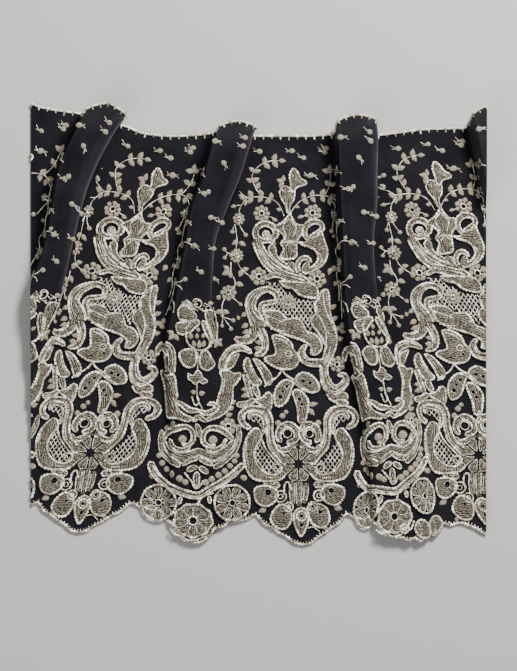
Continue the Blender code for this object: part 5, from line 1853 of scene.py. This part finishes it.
def buildNet():
    flats = np.arange(netSizes["first"], netSizes["last"], netSizes["across"])
    shares = np.linspace(0, 1, netSizes["rows"] + 1)
    flat, share = np.meshgrid(flats, shares)
    depth = share * hemDepth(flat)
    points, _ = onCloth(flat, depth)
    near = np.abs(points[..., 0]) < cutHalf + netSizes["past"] * mm
    columns = len(flats)
    faces = []
    for r in range(netSizes["rows"]):
        for c in range(columns - 1):
            if near[r : r + 2, c : c + 2].all():
                a = r * columns + c
                faces.append((a, a + columns, a + columns + 1, a + 1))
    used, faces = inUse(faces, flat.size)
    flat, depth = flat.ravel()[used], depth.ravel()[used]
    item = newObject("net_sheet", points.reshape(-1, 3)[used], [], faces)
    giveUv(item, np.stack([flat, depth], axis=1))
    # the fold attribute carries the net's painted sheen along its folds
    setAttribute(item, "fold", "FLOAT", paintedFoldSheen(flat, depth))
    item.data.materials.append(materials["net"])
    item.data.shade_smooth()
    cutAtEnds(item, False)
    return item


paintedFoldLooks = {
    "half": 1.6,  # half width in mm of the painted light line along a fold
    "edge": 0.6,  # how strong the painted sheen is on the folded edge, on the ridge and on the doubled band
    "ridge": 0.2,
    "band": 0.17,
    "bandWidth": 6.5,
    "bandVaries": (0.75, 0.25, 23),  # least share, swing, and mm of depth a radian
    "bandSoft": 1.2,
    "fades": (70.0, 125.0),  # depths
    "levels": (0, 240, 8.0),
}


def paintedFoldSheen(flat, depth):
    # painted light: sheen painted along each pleat's folded edge, a lighter band painted where the net lies
    # doubled, and a little painted highlight on its ridge
    shade = np.zeros(len(flat))
    levels = np.arange(*paintedFoldLooks["levels"])
    first, last = paintedFoldLooks["fades"]
    fade = 1 - eased((depth - first) / (last - first))
    least, swing, slow = paintedFoldLooks["bandVaries"]
    for pleat in range(len(pleats)):
        marks = [landmarks(pleat, level)[0] for level in levels]
        for name, strength in (("nose", paintedFoldLooks["edge"]), ("ridge", paintedFoldLooks["ridge"])):
            place = np.interp(depth, levels, [row[bends[name]][0] for row in marks])
            shade += strength * fade * np.exp(-(((flat - place) / paintedFoldLooks["half"]) ** 2))
            if name == "nose":
                start = place - paintedFoldLooks["bandWidth"] * (least + swing * np.sin(depth / slow + pleat))
                soft = eased((flat - start) / paintedFoldLooks["bandSoft"])
                shade += paintedFoldLooks["band"] * fade * soft * (flat < place)
    return shade


def flatArea(item):
    # the kept sheet's area when it is laid out flat, in square metres
    uvs = np.zeros(len(item.data.loops) * 2, np.float32)
    item.data.uv_layers["UVMap"].data.foreach_get("uv", uvs)
    uvs = uvs.reshape(-1, 2).astype(float)
    total = 0.0
    for face in item.data.polygons:
        ring = uvs[face.loop_start : face.loop_start + face.loop_total]
        ahead = np.roll(ring, -1, axis=0)
        total += 0.5 * abs((ring[:, 0] * ahead[:, 1] - ring[:, 1] * ahead[:, 0]).sum())
    return total * mm * mm


def buildEdge(name, node, flats, depths):
    good = np.abs(onCloth(flats, depths)[0][:, 0]) < cutHalf - edgeSizes["ends"] * mm
    points, normals = onCloth(flats[good], depths[good], edgeSizes["lift"])
    looks = {"Material": materials["cordonnet"]}
    edges = [(k, k + 1) for k in range(len(points) - 1)]
    cord = newObject(name, points, edges, [])
    setAttribute(cord, "thick", "FLOAT", [1.0] * len(points))
    cord = grownFrom(cord, trees["cord"], {**edgeSizes[name]["cord"], **looks})
    finishPiece(cord, [node])
    row = newObject(f"{name}_legs", points, edges, [])
    setAttribute(row, "facing", "FLOAT_VECTOR", normals)
    row = grownFrom(row, trees["edge"], {**edgeSizes[name]["legs"], **looks})
    finishPiece(row, [node])


net = buildNet()
finishPiece(net, ["net_ground"])
netArea = flatArea(net)
shownArea = sum(face.area for face in net.data.polygons)
print("net laid, flat area", round(netArea, 5), "shown", round(shownArea, 5))

edgeSizes = {
    "footing_edge": {
        "cord": {"Cord radius": 0.72 * mm, "Sides": 8, "Stitches": False},
        "legs": {"Leg spacing": 4.7 * mm, "Leg length": 2.2 * mm, "Leg thickness": 0.9 * mm, "Seed": 7},
    },
    "hem_edge": {
        "cord": {"Cord radius": 0.6 * mm, "Sides": 6, "Stitches": True, "Stitch spacing": 1.6 * mm,
                 "Stitch width": 0.7 * mm, "Stitch lean": 0.6, "Seed": 11},
        "legs": {"Leg spacing": 1.9 * mm, "Leg length": 1.6 * mm, "Leg thickness": 0.6 * mm, "Seed": 8},
    },
    "step": 0.7,
    "over": 0.2,  # mm that the cords lie outside the net's edges, above it, and short of the cut ends
    "lift": 0.25,
    "ends": 0.05,
}
edgeFlats = np.arange(netSizes["first"], netSizes["last"], edgeSizes["step"])
hemFlats = edgeFlats[::-1]
buildEdge("footing_edge", "footing_cord", edgeFlats, np.full(len(edgeFlats), -edgeSizes["over"]))
buildEdge("hem_edge", "hem_cord", hemFlats, hemDepth(hemFlats) + edgeSizes["over"])
print("edges corded")

for shape in shapes.values():
    bpy.data.objects.remove(shape["object"])


# Floor, light and camera
stage = {
    "floor": (0.36, 0.352, 0.34),
    "floorSize": 3.0,
    "floorRoughness": 0.9,
    "floorBelow": 0.0004,
    "viewHeight": 4.0,
    "imageWidth": 289.5,  # mm across the picture at the net
    "imageMiddle": (0.0, -6.3),
    "sensor": 36.0,
    "clipEnd": 50,
    "lamps": (
        ("key light", (0.55, 0.85, 0.85), 0.35, 52.0),
        ("fill light", (-0.8, -0.7, 0.9), 0.8, 12.0),
    ),
    "room": ((0.9, 0.93, 1, 1), 0.28),
}


def buildStage():
    half = stage["floorSize"] / 2
    below = -stage["floorBelow"]
    corners = [(x * half, y * half, below) for x, y in ((-1, -1), (1, -1), (1, 1), (-1, 1))]
    floor = newObject("floor", corners, [], [(0, 1, 2, 3)])
    made, _, shader = newMaterial("pale floor")
    shader.inputs["Base Color"].default_value = (*stage["floor"], 1)
    shader.inputs["Roughness"].default_value = stage["floorRoughness"]
    floor.data.materials.append(made)
    for name, place, size, energy in stage["lamps"]:
        lamp = bpy.data.lights.new(name, "AREA")
        lamp.size = size
        lamp.energy = energy
        item = placedItem(name, lamp)
        item.location = place
        item.rotation_euler = (-Vector(place)).to_track_quat("-Z", "Y").to_euler()
    world = bpy.data.worlds.new("soft room")
    world.use_nodes = True
    background = world.node_tree.nodes["Background"]
    background.inputs["Color"].default_value, background.inputs["Strength"].default_value = stage["room"]
    bpy.context.scene.world = world


def buildCamera():
    lens = bpy.data.cameras.new("camera")
    lens.sensor_fit = "HORIZONTAL"
    lens.sensor_width = stage["sensor"]
    lens.lens = stage["sensor"] * stage["viewHeight"] / (stage["imageWidth"] * mm)
    lens.clip_end = stage["clipEnd"]
    x, y = stage["imageMiddle"]
    item = placedItem("camera", lens)
    item.location = (x * mm, y * mm, stage["viewHeight"])
    bpy.context.scene.camera = item


buildStage()
buildCamera()
counts = [
    sum(len(face.vertices) - 2 for face in item.data.polygons)
    for item in bpy.data.objects if item.type == "MESH" and not item.hide_render
]
print("stage ready; triangles shown:", sum(counts), "most in one:", max(counts))
